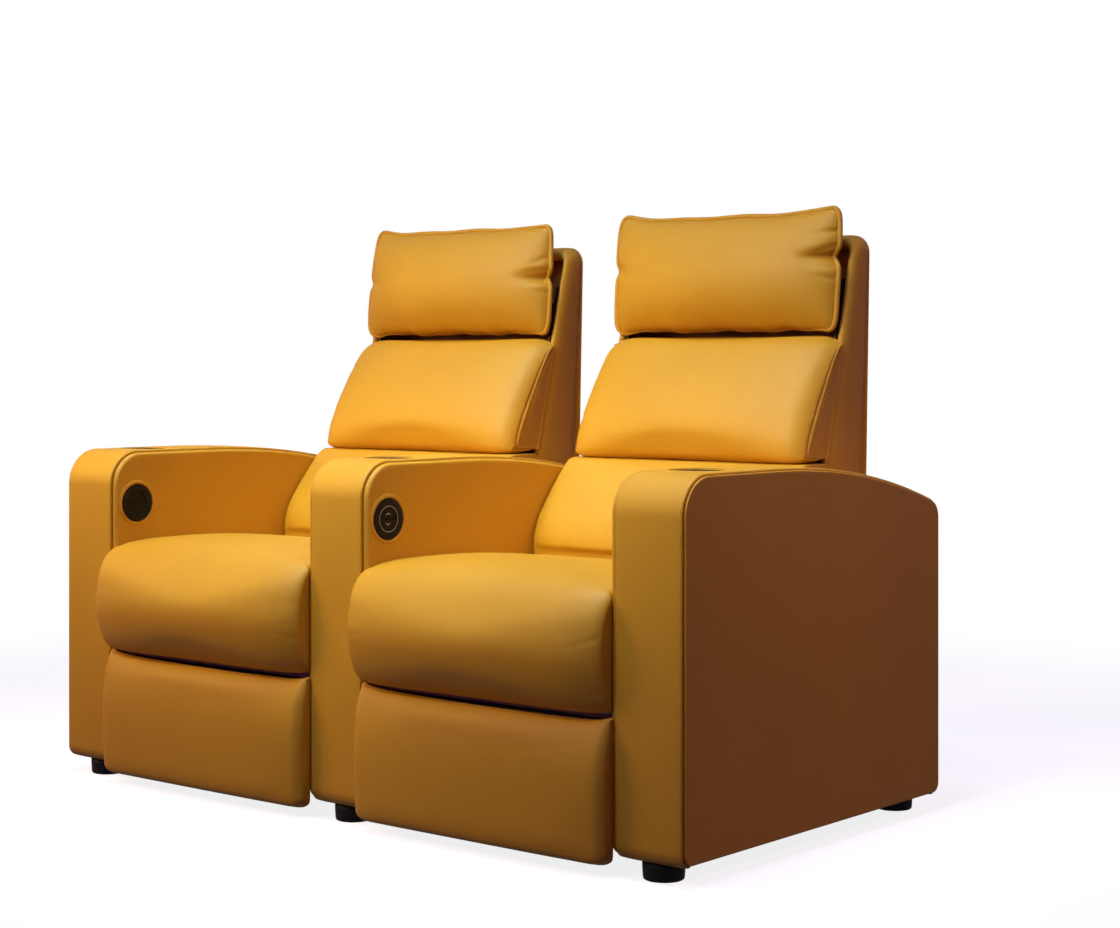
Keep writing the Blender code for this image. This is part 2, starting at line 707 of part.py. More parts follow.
def build_motor(name, origin, lever_end):
    """Linear actuator: gearbox, motor and outer tube in one housing, and the rod that slides in it."""
    # The eye lies beside the lever, where the pin is left out.
    eye_y = lever_end[0]
    axis_z = lever_end[1] - 0.5 * lever_length * (1 - cos(crank_turn / 2))
    eye_thickness = 0.006
    rod_x = lever_x + link_thickness / 2 + 0.002 + eye_thickness / 2
    width, length, height = gearbox_size
    housing = block(f"{name}_motor_housing", (rod_x - width / 2, gearbox_front_y, axis_z - height / 2),
                    (rod_x + width / 2, gearbox_front_y + length, axis_z + height / 2),
                    "black_plastic", origin)
    edges = housing.modifiers.new("edges", 'BEVEL')
    edges.width = 0.006
    edges.segments = 2
    sleeve = bar(f"{name}_sleeve", (rod_x, tube_front_y, axis_z), (rod_x, gearbox_front_y + 0.010, axis_z),
                 tube_outer_radius, None, origin, steps=16)
    motor_x = rod_x + width / 2 + motor_radius * 0.7
    can = bar(f"{name}_can", (motor_x, gearbox_front_y + length - 0.004 - motor_length, axis_z),
              (motor_x, gearbox_front_y + length - 0.004, axis_z), motor_radius, None, origin, steps=16)
    saddle_depth = rear_tube_y - gearbox_front_y - length
    saddle = block(f"{name}_saddle", (rod_x - 0.010, gearbox_front_y + length - 0.006, rear_tube_z - 0.010),
                   (rod_x + 0.010, gearbox_front_y + length + saddle_depth - 0.002, rear_tube_z + 0.010),
                   None, origin)
    join(housing, sleeve, can, saddle)
    bore = bar(f"{name}_rod_bore", (rod_x, tube_front_y - 0.002, axis_z),
               (rod_x, gearbox_front_y + 0.004, axis_z), rod_radius + pin_clearance, None, origin, steps=16)
    notch = bar(f"{name}_notch", (rod_x - 0.030, rear_tube_y, rear_tube_z),
                (rod_x + 0.030, rear_tube_y, rear_tube_z), tube_radius + gap, None, origin, steps=20)
    cut(housing, bore, notch)

    slide = add_empty(f"{name}_rod_slide", (rod_x, eye_y, axis_z), origin)
    place = (-rod_x, -eye_y, -axis_z)
    stem_front = eye_y + 2 * rod_eye_radius
    eye_root = stem_front + 0.004 - rod_radius
    rod = bar(f"{name}_motor_rod", (rod_x, stem_front, axis_z), (rod_x, gearbox_front_y, axis_z),
              rod_radius, "bright_steel", slide, place, steps=16)
    eye = side_plate(f"{name}_rod_eye", [link_outline((eye_y, axis_z), (eye_root, axis_z), rod_radius)],
                     eye_thickness, rod_x, None, slide, place)
    join(rod, eye)
    pin_hole = bar(f"{name}_eye_hole", (rod_x - 0.010, eye_y, axis_z), (rod_x + 0.010, eye_y, axis_z),
                   stud_radius, None, slide, place, steps=12)
    cut(rod, pin_hole)


def plane_at(z):
    """The y of the back's front plane at a height."""
    return plane_y + plane_slope * (z - hinge[1])


def rear_at(z):
    """The y of the back's rear face at a height."""
    return rear_low_y + (rear_high_y - rear_low_y) * (z - skirt_bottom) / (shell_top - skirt_bottom)


def build_back(name, origin):
    """Everything that tilts on the recline hinge."""
    axis = add_empty(f"{name}_recline_axis", (0, *hinge), origin)
    place = (0, -hinge[0], -hinge[1])
    half = cushion_width / 2

    rear_inside = rear_at(skirt_bottom) - rear_wall
    outline = rounded([
        (plane_at(shell_bottom), shell_bottom, 0.0),
        (plane_at(shell_top), shell_top, shell_front_radius),
        (rear_at(shell_top), shell_top, shell_rear_radius),
        (rear_at(skirt_bottom), skirt_bottom, 0.010),
        (rear_inside, skirt_bottom, 0.004),
        (rear_inside, shell_bottom, 0.0)], 5)
    shell = side_plate(f"{name}_back_shell", [outline], 2 * half, 0, "leather", axis, place)
    bevel_rim(shell, [-half, half], shell_roll, 2)
    inside_top = shell_top - rear_wall
    ahead = 0.060
    room = [
        (plane_at(shell_bottom) - ahead, skirt_bottom - ahead),
        (plane_at(inside_top) - ahead, inside_top),
        (rear_at(inside_top) - rear_wall, inside_top),
        (rear_inside, skirt_bottom - ahead)]
    hollow = side_plate(f"{name}_shell_hollow", [room], 2 * (half - shell_wall), 0, None, axis, place)
    cut(shell, hollow)

    build_back_frame(name, axis, place)
    build_back_cushions(name, axis, place)


def build_back_frame(name, axis, place):
    """Steel uprights on the hinge studs, with three rails behind the cushions."""
    width = upright_width / cos(atan2(plane_slope, 1.0))
    # The uprights are screwed to the insides of the shell's side walls.
    upright_x = cushion_width / 2 - shell_wall - gap - plate_thickness / 2
    foot = upright_foot
    low_z = hinge[1] - 0.9 * foot
    top_y = plane_at(upright_top) + upright_behind
    bend_z = hinge[1] + 2 * upright_width
    outline = rounded([
        (plane_at(hinge[1]) + 2 * upright_behind, low_z, foot / 2),
        (top_y, upright_top, foot / 3),
        (top_y + 0.6 * width, upright_top, foot / 3),
        (hinge[0] + foot + plane_slope * (bend_z - hinge[1]), bend_z, 1.4 * foot),
        (hinge[0] + foot, low_z, 0.7 * foot)], 3)
    frame = side_plate(f"{name}_back_frame", [outline], plate_thickness, -upright_x, "black_steel",
                       axis, place)
    other = side_plate(f"{name}_upright", [outline], plate_thickness, upright_x, None, axis, place)
    join(frame, other)
    for sign in (-1, 1):
        stud = bar(f"{name}_hinge_stud_{sign}", (sign * upright_x, *hinge),
                   (sign * (plate_outer - gap), *hinge), hinge_radius, None, axis, place, steps=12)
        join(frame, stud)
    for i, z in enumerate(rail_heights):
        front = plane_at(z + rail_size / 2) + gap
        rail = block(f"{name}_rail_{i}", (-upright_x, front, z - rail_size / 2),
                     (upright_x, front + rail_size, z + rail_size / 2), None, axis, place)
        join(frame, rail)


def build_back_cushions(name, axis, place):
    """Lumbar cushion, back cushion and head pillow, stacked on the front of the shell."""
    stations = (-1.0, -0.965, -0.55, 0.0, 0.55, 0.965, 1.0)

    def lumbar_section(u):
        """A wedge whose front curves from the seat up under the back cushion."""
        full = 1 - 0.08 * abs(u) ** 12
        points = [(plane_at(lumbar_bottom) - gap, lumbar_bottom)]
        points += [(lumbar_front_y + back, lumbar_bottom + up) for back, up in lumbar_profile]
        height = lumbar_top - lumbar_bottom
        points += [(plane_at(z) - gap, z) for z in
                   (lumbar_top, lumbar_top - 0.1 * height, lumbar_bottom + 0.5 * height)]
        line = [plane_at(z) - gap for _, z in points]
        return [(base - (base - y) * full, z) for (y, z), base in zip(points, line)]

    soft(f"{name}_lumbar_cushion", cushion_width / 2, stations, lumbar_section, axis, place)

    def back_section(u):
        """Thick at its rolled lower edge and thin at the top, crowned across the width."""
        ends = abs(u) ** 8
        crown = back_crown * (1 - u ** 2)
        height = back_top - back_bottom
        points = [(plane_at(z) - gap, z) for z in (back_top, back_bottom + 0.5 * height, back_bottom)]
        for share, thickness, crowned in back_profile:
            z = back_bottom + share * height
            points.append((plane_at(z) - (thickness + crowned * crown) * (1 - 0.10 * ends), z))
        return points

    soft(f"{name}_back_cushion", cushion_width / 2, stations, back_section, axis, place)

    def pillow_section(u):
        """A stuffed pillow, sewn along a seam that leans less than the shell, with a dip between its ears."""
        ear = max(0.0, abs(u) - 0.8) / 0.2
        top = pillow_top - 0.008 * (1 - abs(u) ** 3) + pillow_ear * ear
        bottom = pillow_bottom
        full = 1 - 0.80 * abs(u) ** 6
        points = []
        for share in (0.0, 0.05, 0.20, 0.42, 0.64, 0.84, 0.95, 1.0):
            z = bottom + share * (top - bottom)
            bulge = (4 * share * (1 - share)) ** 0.45
            points.append((pillow_seam_y + pillow_lean * (z - bottom) - pillow_front * full * bulge, z))
        for share in (0.78, 0.48, 0.18):
            z = bottom + share * (top - bottom)
            seam = pillow_seam_y + pillow_lean * (z - bottom)
            room = plane_at(z) - gap - seam
            points.append((seam + room * full, z))
        return points

    soft(f"{name}_head_pillow", cushion_width / 2 - pillow_inset,
         (-1.0, -0.95, -0.78, -0.4, 0.0, 0.4, 0.78, 0.95, 1.0), pillow_section, axis, place)


def build_seat_cushion(name, origin):
    """The seat: a deep rolled front, a crowned top that falls to the rear, and drawn-in ends."""
    base = frame_top + gap + deck_thickness + gap

    def section(u):
        ends = abs(u) ** 12
        crown = seat_crown * (1 - u ** 2)
        nose = seat_nose_y + seat_crown * abs(u) ** 4 - seat_bow
        top = seat_top - seat_crown * ends + crown * 0.5
        rear_top = seat_top_rear + crown
        depth = seat_rear_y - nose
        points = [(seat_rear_y, rear_top - seat_edge), (seat_rear_y, 0.5 * (rear_top + base)),
                  (seat_rear_y, base), (nose + 0.55 * depth, base), (nose + 0.18 * depth, base)]
        points += [(nose + back, base + share * (top - base)) for back, share in seat_nose]
        points += [(nose + 0.09 * depth, top - seat_edge), (nose + 0.21 * depth, top),
                   (nose + 0.45 * depth, top - 0.002), (nose + 0.70 * depth, 0.5 * (top + rear_top)),
                   (seat_rear_y - 2 * seat_edge, rear_top)]
        return points

    soft(f"{name}_seat_cushion", cushion_width / 2, (-1.0, -0.97, -0.6, 0.0, 0.6, 0.97, 1.0),
         section, origin, end=1)


def build_seat(name, x):
    origin = add_empty(f"{name}_origin", (x, front_y, 0))
    build_base(name, origin)
    build_seat_cushion(name, origin)
    lever_end = build_linkage(name, origin)
    build_motor(name, origin, lever_end)
    build_back(name, origin)


left_arm = build_arm("arm_left", -pitch, ("right",))
middle_arm = build_arm("arm_middle", 0.0, ("right",))
right_arm = build_arm("arm_right", pitch, ())
build_control("control_left", left_arm)
build_control("control_right", middle_arm)
build_seat("left", -pitch / 2)
build_seat("right", pitch / 2)
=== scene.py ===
"""Looks of the two-seat reclining loveseat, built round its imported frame.

Metres, +Z up, the seats face -Y. Side views are (y, z) with y measured back from the arms' front faces,
and every shape is moved by arm_front at the end. Left and right are as seen from in front.
"""
from math import atan2, cos, pi, radians, sin

import bmesh
import bpy
import numpy as np
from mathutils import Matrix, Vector
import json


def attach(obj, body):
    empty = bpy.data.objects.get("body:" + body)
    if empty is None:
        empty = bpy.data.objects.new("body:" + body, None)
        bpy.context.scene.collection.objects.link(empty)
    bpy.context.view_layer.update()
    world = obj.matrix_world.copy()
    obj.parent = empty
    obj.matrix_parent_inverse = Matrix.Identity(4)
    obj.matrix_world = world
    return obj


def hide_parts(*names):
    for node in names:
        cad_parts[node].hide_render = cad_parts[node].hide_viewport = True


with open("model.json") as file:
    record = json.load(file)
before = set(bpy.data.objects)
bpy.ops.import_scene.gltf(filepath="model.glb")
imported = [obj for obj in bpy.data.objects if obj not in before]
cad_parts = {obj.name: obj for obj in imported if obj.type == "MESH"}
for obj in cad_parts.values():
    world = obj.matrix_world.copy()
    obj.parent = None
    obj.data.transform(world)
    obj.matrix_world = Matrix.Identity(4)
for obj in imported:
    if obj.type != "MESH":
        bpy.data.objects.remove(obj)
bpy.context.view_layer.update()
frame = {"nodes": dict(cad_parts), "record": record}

# Layout, as in the frame
arm_front = -0.3685
arm_pitch = 0.700
arm_places = {"arm_left": -arm_pitch, "arm_middle": 0.0, "arm_right": arm_pitch}
seat_places = {"left": -arm_pitch / 2, "right": arm_pitch / 2}
arm_half = 0.075
seam_x = 0.0630          # the seams beside a seat lie this far from the arm's middle
outer_seam_x = 0.0700    # and those on the loveseat's two ends
inner_crown = 0.0004     # how far a side panel bulges beside a seat
outer_crown = 0.0020     # and on the two ends
arm_lift = 0.0305
arm_top = 0.650
arm_depth = 0.795
front_radius = 0.068
foot_radius = 0.022
rear_radius = 0.036
flat_end = 0.250
arm_fall = 0.074
fall_power = 2.2
cup_y = 0.137
groove_depth = 0.0112    # of the seams beside the band
groove_width = 0.0032
set_back = 0.0042        # the side panels' lip lies this far inside the band
band_edge = 0.0030
band_crown = 0.0012
band_thickness = 0.0117
welt_radius = 0.0016
cup_hole = 0.0465
foot_places = {"front": 0.047, "rear": 0.755}
control_y = 0.058
control_z = 0.5455
control_hole = 0.0378
well_depth = 0.0065      # of the bezel, behind the buttons
key_radius = 0.0215
key_gap = 0.0018         # between the well's floor and a button
key_thick = 0.0045
cushion_half = 0.271
cushion_room = 0.2736    # half the width of the cushions between the arms
plane_y = 0.5545         # front plane of the back at the hinge's height
plane_slope = 0.2475
hinge_z = 0.235
deck_top = 0.2603
shell_top = 1.068
shell_bottom = 0.270
skirt_bottom = 0.160
rear_low_y = 0.776
rear_high_y = 0.801
seat_rear = 0.4492       # the swollen cushions stay before, above and below these
pad_rear = 0.0022
pad_heights = (0.0140, 0.2590)
lumbar_heights = (0.288, 0.6400)
back_heights = (0.6412, 0.8825)
pillow_middle = -0.0045
pillow_half = 0.2585
pillow_low = 0.8925
pillow_high = 1.1060
pillow_bulge = 0.068
pillow_hang = 0.0200
pillow_welt_radius = 0.0050
panel_welt_radius = 0.0028


# Lines and surfaces

def arc(centre, radius, start, turn, steps):
    """Points at equal angles: the centre plus the radius times (cos, sin)."""
    angle = start + turn * np.linspace(0, 1, steps + 1)
    return np.stack([centre[0] + radius * np.cos(angle), centre[1] + radius * np.sin(angle)], 1)


def even(line, count, closed=True):
    """The same line with equal steps of length, found by interpolating against the running length."""
    line = np.vstack([line, line[:1]]) if closed else line
    length = np.concatenate([[0], np.cumsum(np.linalg.norm(np.diff(line, axis=0), axis=1))])
    at = np.linspace(0, length[-1], count + 1)[:count] if closed else np.linspace(0, length[-1], count)
    return np.stack([np.interp(at, length, line[:, k]) for k in range(line.shape[1])], 1)


def smooth_loop(points, steps):
    """A closed Catmull-Rom curve: each stretch is the cubic through its ends with the neighbours' slopes."""
    before, here = np.roll(points, 1, -2)[..., None, :], points[..., None, :]
    after, later = np.roll(points, -1, -2)[..., None, :], np.roll(points, -2, -2)[..., None, :]
    t = np.linspace(0, 1, steps, endpoint=False)[:, None]
    curve = 0.5 * (2 * here + (after - before) * t + (2 * before - 5 * here + 4 * after - later) * t ** 2
                   + (3 * here - before - 3 * after + later) * t ** 3)
    return curve.reshape(*points.shape[:-2], -1, points.shape[-1])


def inward(outline):
    """Unit normals into a closed outline that runs clockwise: the local step turned by a quarter."""
    step = np.roll(outline, -1, -2) - np.roll(outline, 1, -2)
    step = step / np.linalg.norm(step, axis=-1, keepdims=True)
    return np.stack([step[..., 1], -step[..., 0]], -1)


def beside(line):
    """Unit normals to the right of an open line: the local step turned by a quarter."""
    step = np.gradient(line, axis=0)
    step /= np.linalg.norm(step, axis=1, keepdims=True)
    return np.stack([step[:, 1], -step[:, 0]], 1)


def drawn_in(outline, inset, shrink):
    """A closed outline moved in along its normals, then shrunk to its middle."""
    middle = outline.mean(0)
    return middle + shrink * (outline + inset * inward(outline) - middle)


def quads_of(rows, columns):
    """Corner numbers of the quads of a grid."""
    index = np.arange(rows * columns).reshape(rows, columns)
    return np.stack([index[:-1, :-1], index[:-1, 1:], index[1:, 1:], index[1:, :-1]], -1).reshape(-1, 4)


def closed(grid, axis=1):
    """The grid with its first row or column repeated at its end, so that it joins up."""
    return np.concatenate([grid, grid.take([0], axis)], axis)


def end_cap(loop, first):
    """A closed loop filled by straight lines between its two sides, counted both ways from one point."""
    half = len(loop) // 2
    turned = np.roll(loop, -first, 0)
    one, other = turned[:half + 1], np.roll(turned[::-1], 1, 0)[:half + 1]
    return one + np.linspace(0, 1, 9)[:, None, None] * (other - one)


def mesh_from(*grids):
    """A mesh of one or more (rows, columns, 3) grids, welded where they meet, with faces outwards."""
    points, faces, start = [], [], 0
    for grid in grids:
        rows, columns, _ = grid.shape
        points.append(grid.reshape(-1, 3))
        faces.append(quads_of(rows, columns) + start)
        start += rows * columns
    mesh = bpy.data.meshes.new("form")
    mesh.from_pydata(np.vstack(points).tolist(), [], np.vstack(faces).tolist())
    work = bmesh.new()
    work.from_mesh(mesh)
    bmesh.ops.remove_doubles(work, verts=work.verts, dist=1e-6)
    bmesh.ops.dissolve_degenerate(work, edges=work.edges, dist=1e-7)
    bmesh.ops.recalc_face_normals(work, faces=work.faces)
    if work.calc_volume(signed=True) < 0:
        bmesh.ops.reverse_faces(work, faces=work.faces)
    work.to_mesh(mesh)
    work.free()
    mesh.shade_smooth()
    return mesh


def capped(grid):
    """A mesh of rows that close up sideways, with the first and the last row gathered to their middles."""
    ends = [np.repeat(row.mean(0)[None], len(row), 0)[None] for row in (grid[0], grid[-1])]
    return mesh_from(closed(np.concatenate([ends[0], grid, ends[1]])))


def rings(outline, plan):
    """Rings for a slab seen from the side: each is drawn in, shrunk to the middle and put at its own x."""
    made = []
    for inset, shrink, x in plan:
        flat = drawn_in(outline, inset, shrink)
        made.append(np.column_stack([np.full(len(flat), x), flat[:, 0] + arm_front, flat[:, 1]]))
    return np.array(made)


def tube(path, radius):
    """A closed round cord: circles of ten points across the path's local direction, around its points."""
    ahead = np.roll(path, -1, 0) - np.roll(path, 1, 0)
    ahead /= np.linalg.norm(ahead, axis=1, keepdims=True)
    across = np.cross(ahead, path - path.mean(0))
    across /= np.linalg.norm(across, axis=1, keepdims=True)
    out = np.cross(across, ahead)
    angle = np.linspace(0, 2 * pi, 10, endpoint=False)[None, :, None]
    grid = path[:, None] + radius * (np.cos(angle) * out[:, None] + np.sin(angle) * across[:, None])
    return mesh_from(closed(closed(grid), 0))


def lathe(profile, centre, axis="Z", sides=96):
    """A turned piece: each (radius, height) point of the profile swept round the axis."""
    radius, height = np.array(profile).T[:, :, None]
    angle = np.linspace(0, 2 * pi, sides, endpoint=False)[None, :]
    one, two = radius * np.cos(angle), radius * np.sin(angle)
    along = np.broadcast_to(height, one.shape)
    grid = np.stack([one, two, along], -1) if axis == "Z" else np.stack([along, one, two], -1)
    return mesh_from(closed(grid + np.array(centre)))


# Pieces and how they are added to the frame

def add(name, mesh, kind, body, replaces=()):
    """Put a finished mesh in the scene on its CAD body, with the look and the slot of its kind."""
    mesh.name = name
    mesh.materials.clear()
    mesh.materials.append(looks[kind])
    piece = bpy.data.objects.new(name, mesh)
    bpy.context.collection.objects.link(piece)
    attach(piece, body)
    if replaces:
        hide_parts(*replaces)


def baked(piece):
    """The mesh that a piece has with its modifiers."""
    graph = bpy.context.evaluated_depsgraph_get()
    return bpy.data.meshes.new_from_object(piece.evaluated_get(graph))


def shaped(mesh, kind, **settings):
    """A mesh changed by one modifier."""
    guide = bpy.data.objects.new("guide", mesh)
    bpy.context.collection.objects.link(guide)
    modifier = guide.modifiers.new("change", kind)
    for key, value in settings.items():
        setattr(modifier, key, value)
    bpy.context.view_layer.update()
    made = baked(guide)
    bpy.data.objects.remove(guide)
    return made


def smoothed(mesh):
    """A mesh subdivided once and shaded smooth."""
    made = shaped(mesh, 'SUBSURF', levels=1, render_levels=1)
    made.shade_smooth()
    return made


def cut_round(mesh, centre, radius, depth, axis="Z"):
    """A mesh with a round hole bored through it."""
    profile = [(0, -depth / 2), (radius, -depth / 2), (radius, depth / 2), (0, depth / 2)]
    drill = bpy.data.objects.new("drill", lathe(profile, centre, axis))
    bpy.context.collection.objects.link(drill)
    made = shaped(mesh, 'BOOLEAN', operation='DIFFERENCE', solver='EXACT', object=drill)
    bpy.data.objects.remove(drill)
    made.set_sharp_from_angle(angle=radians(50))
    return made


def coordinates(mesh):
    """The points of a mesh, one row each."""
    points = np.empty(len(mesh.vertices) * 3)
    mesh.vertices.foreach_get("co", points)
    return points.reshape(-1, 3)


def set_coordinates(mesh, points):
    """Move a mesh's points."""
    mesh.vertices.foreach_set("co", points.ravel())
    mesh.update()


def evened(mesh, move, held, rounds):
    """Moves of a mesh's points, each drawn to its neighbours' mean a number of times, but not on a seam."""
    edges = np.empty(len(mesh.edges) * 2, int)
    mesh.edges.foreach_get("vertices", edges)
    one, other = edges.reshape(-1, 2).T
    count = np.bincount(edges, minlength=len(move))[:, None]
    free = ~held[:, None]
    for _ in range(rounds):
        total = np.zeros_like(move)
        np.add.at(total, one, move[other])
        np.add.at(total, other, move[one])
        move = np.where(free, 0.4 * move + 0.6 * total / count, move)
    return move


cloth_frames = 20
cloth_settings = {
    "quality": 4, "mass": 0.4, "tension_stiffness": 30, "compression_stiffness": 30, "shear_stiffness": 12,
    "bending_stiffness": 4, "use_pressure": True, "uniform_pressure_force": 4.0, "vertex_group_mass": "seam",
    "pin_stiffness": 1.0,
}


def inflate(mesh, held, cap, limits=None, rounds=40):
    """A padded piece swollen by Cloth from inside, with its seams held and every point's move capped. The
    moves are evened out so that the leather stays taut.

    held marks the points of the seams, and limits is a function that keeps points clear of neighbours.
    """
    start = coordinates(mesh)
    guide = bpy.data.objects.new("swelling", mesh)
    bpy.context.collection.objects.link(guide)
    guide.vertex_groups.new(name="seam").add(np.flatnonzero(held).tolist(), 1.0, 'REPLACE')
    cloth = guide.modifiers.new("cloth", 'CLOTH')
    for key, value in cloth_settings.items():
        setattr(cloth.settings, key, value)
    cloth.settings.effector_weights.gravity = 0
    cloth.collision_settings.use_collision = False
    scene = bpy.context.scene
    for step in range(1, cloth_frames + 1):
        scene.frame_set(step)
    swollen = coordinates(baked(guide))
    scene.frame_set(1)
    bpy.data.objects.remove(guide)
    move = swollen - start
    size = np.linalg.norm(move, axis=1, keepdims=True)
    move *= np.minimum(1.0, cap / np.maximum(size, 1e-9))
    points = start + evened(mesh, move, held, rounds)
    set_coordinates(mesh, limits(points) if limits else points)


# Materials

def connect(tree, made, inputs):
    """Inputs of a node set to values or linked to sockets."""
    for key, value in inputs.items():
        if isinstance(value, bpy.types.NodeSocket):
            tree.links.new(value, made.inputs[key])
        else:
            made.inputs[key].default_value = value


def node(tree, kind, inputs=None, **settings):
    """A shader node of a kind, with its settings and inputs."""
    made = tree.nodes.new("ShaderNode" + kind)
    for key, value in settings.items():
        setattr(made, key, value)
    connect(tree, made, inputs or {})
    return made


def ramp(tree, value, low, high, first=0.0, last=1.0):
    """A value mapped from one range to another."""
    return node(tree, 'MapRange', {"Value": value, "From Min": low, "From Max": high,
                                   "To Min": first, "To Max": last}).outputs["Result"]


def build_hide_group():
    """Pebbled hide: cells for the pebbles, soft noise for tone, and finer noise for the pores."""
    tree = bpy.data.node_groups.new("hide_grain", 'ShaderNodeTree')
    sockets = (("Vector", "Vector", 'INPUT'), ("Colour", "Color", 'INPUT'), ("Deep", "Color", 'INPUT'),
               ("Gloss", "Float", 'INPUT'), ("Colour", "Color", 'OUTPUT'), ("Roughness", "Float", 'OUTPUT'),
               ("Height", "Float", 'OUTPUT'))
    for label, kind, way in sockets:
        tree.interface.new_socket(label, in_out=way, socket_type="NodeSocket" + kind)
    given, put = tree.nodes.new('NodeGroupInput'), tree.nodes.new('NodeGroupOutput')
    vector = given.outputs["Vector"]
    cells = node(tree, 'TexVoronoi', {"Vector": vector, "Scale": 620.0}, feature='SMOOTH_F1')
    cloud = node(tree, 'TexNoise', {"Vector": vector, "Scale": 5.0, "Detail": 3.0}).outputs["Fac"]
    mottle = node(tree, 'TexNoise', {"Vector": vector, "Scale": 240.0, "Detail": 4.0}).outputs["Fac"]
    blend = node(tree, 'Math', {0: cloud, 1: mottle}, operation='ADD').outputs[0]
    colour = node(tree, 'Mix', {"Factor": ramp(tree, blend, 0.6, 1.4), "A": given.outputs["Deep"],
                                "B": given.outputs["Colour"]}, data_type='RGBA')
    swing = ramp(tree, mottle, 0.3, 0.7, -0.05, 0.05)
    rough = node(tree, 'Math', {0: given.outputs["Gloss"], 1: swing}, operation='ADD')
    soft = node(tree, 'TexNoise', {"Vector": vector, "Scale": 26.0, "Detail": 2.0}).outputs["Fac"]
    pebbles = ramp(tree, cells.outputs["Distance"], 0.0, 0.7, 0.0, 0.10)
    height = node(tree, 'Math', {0: soft, 1: pebbles}, operation='ADD')
    connect(tree, put, {"Colour": colour.outputs["Result"], "Roughness": rough.outputs[0],
                        "Height": height.outputs[0]})
    return tree


def principled(name):
    """A new material with its Principled shader and Object coordinates."""
    made = bpy.data.materials.new(name)
    made.use_nodes = True
    tree = made.node_tree
    shader = tree.nodes["Principled BSDF"]
    where = node(tree, 'TexCoord').outputs["Object"]
    return made, tree, shader, where


def leather(name, colour, deep, gloss=0.56):
    """Satin coated leather."""
    made, tree, shader, where = principled(name)
    hide = node(tree, 'Group', {"Colour": (*colour, 1), "Deep": (*deep, 1), "Gloss": gloss, "Vector": where},
                node_tree=hide_group).outputs
    bump = node(tree, 'Bump', {"Height": hide["Height"], "Strength": 0.3, "Distance": 0.0008})
    connect(tree, shader, {"Base Color": hide["Colour"], "Roughness": hide["Roughness"],
                           "Normal": bump.outputs["Normal"], "Specular IOR Level": 0.65})
    return made


def textured(name, colour, second, rough, scale, stretch=(1, 1, 1), metallic=0.0, relief=0.0004, shine=0.5):
    """A plain solid finish: noise between two colours, which also moves the roughness and the surface."""
    made, tree, shader, where = principled(name)
    turned = node(tree, 'Mapping', {"Vector": where, "Scale": stretch}).outputs["Vector"]
    grain = node(tree, 'TexNoise', {"Vector": turned, "Scale": scale, "Detail": 5.0}).outputs["Fac"]
    blend = node(tree, 'Mix', {"Factor": ramp(tree, grain, 0.35, 0.65), "A": (*colour, 1),
                               "B": (*second, 1)}, data_type='RGBA')
    bump = node(tree, 'Bump', {"Height": grain, "Strength": 0.4, "Distance": relief})
    connect(tree, shader, {"Base Color": blend.outputs["Result"], "Normal": bump.outputs["Normal"],
                           "Roughness": ramp(tree, grain, 0.3, 0.7, rough - 0.06, rough + 0.06),
                           "Metallic": metallic, "Specular IOR Level": shine})
    return made


hide_group = build_hide_group()
looks = {
    "leather": leather("mustard_leather", (0.68, 0.365, 0.013), (0.60, 0.310, 0.010)),
    "welt": leather("mustard_welt", (0.68, 0.365, 0.016), (0.56, 0.280, 0.010), 0.58),
    "black_plastic": textured("black_moulding", (0.006, 0.006, 0.005), (0.011, 0.011, 0.010), 0.55, 900.0,
                              shine=0.18),
    "button_plastic": textured("button_moulding", (0.007, 0.007, 0.006), (0.012, 0.012, 0.011), 0.45, 1200.0,
                               shine=0.15),
    "mark": textured("grey_print", (0.50, 0.51, 0.50), (0.58, 0.59, 0.58), 0.50, 900.0),
    "plywood": textured("plywood", (0.60, 0.43, 0.26), (0.42, 0.27, 0.14), 0.65, 30.0, (1.0, 0.12, 6.0)),
    "black_steel": textured("black_powder_coat", (0.022, 0.022, 0.024), (0.034, 0.034, 0.036), 0.45, 700.0,
                            metallic=0.3),
    "bright_steel": textured("brushed_steel", (0.56, 0.56, 0.57), (0.44, 0.44, 0.45), 0.28, 300.0,
                             (30.0, 1.0, 30.0), metallic=1.0, relief=0.0001),
}


# Arms

def arm_line():
    """Side view of an arm without its underside: up the front, over the falling top, down the rear."""
    run = arm_depth - rear_radius - flat_end
    tilt = atan2(arm_fall * fall_power / run, 1.0)
    last = arm_depth - rear_radius * (1 - sin(tilt))
    share = np.linspace(0, 1, 40)
    fall = np.stack([flat_end + share * (last - flat_end), arm_top - arm_fall * share ** fall_power], 1)
    shoulder = (last - rear_radius * sin(tilt), fall[-1, 1] - rear_radius * cos(tilt))
    return np.vstack([
        arc((foot_radius, arm_lift + foot_radius), foot_radius, -pi / 2, -pi / 2, 12),
        arc((front_radius, arm_top - front_radius), front_radius, pi, -pi / 2, 24), fall,
        arc(shoulder, rear_radius, pi / 2 - tilt, tilt - pi / 2, 14)[1:],
        arc((arm_depth - foot_radius, arm_lift + foot_radius), foot_radius, 0, -pi / 2, 12)])


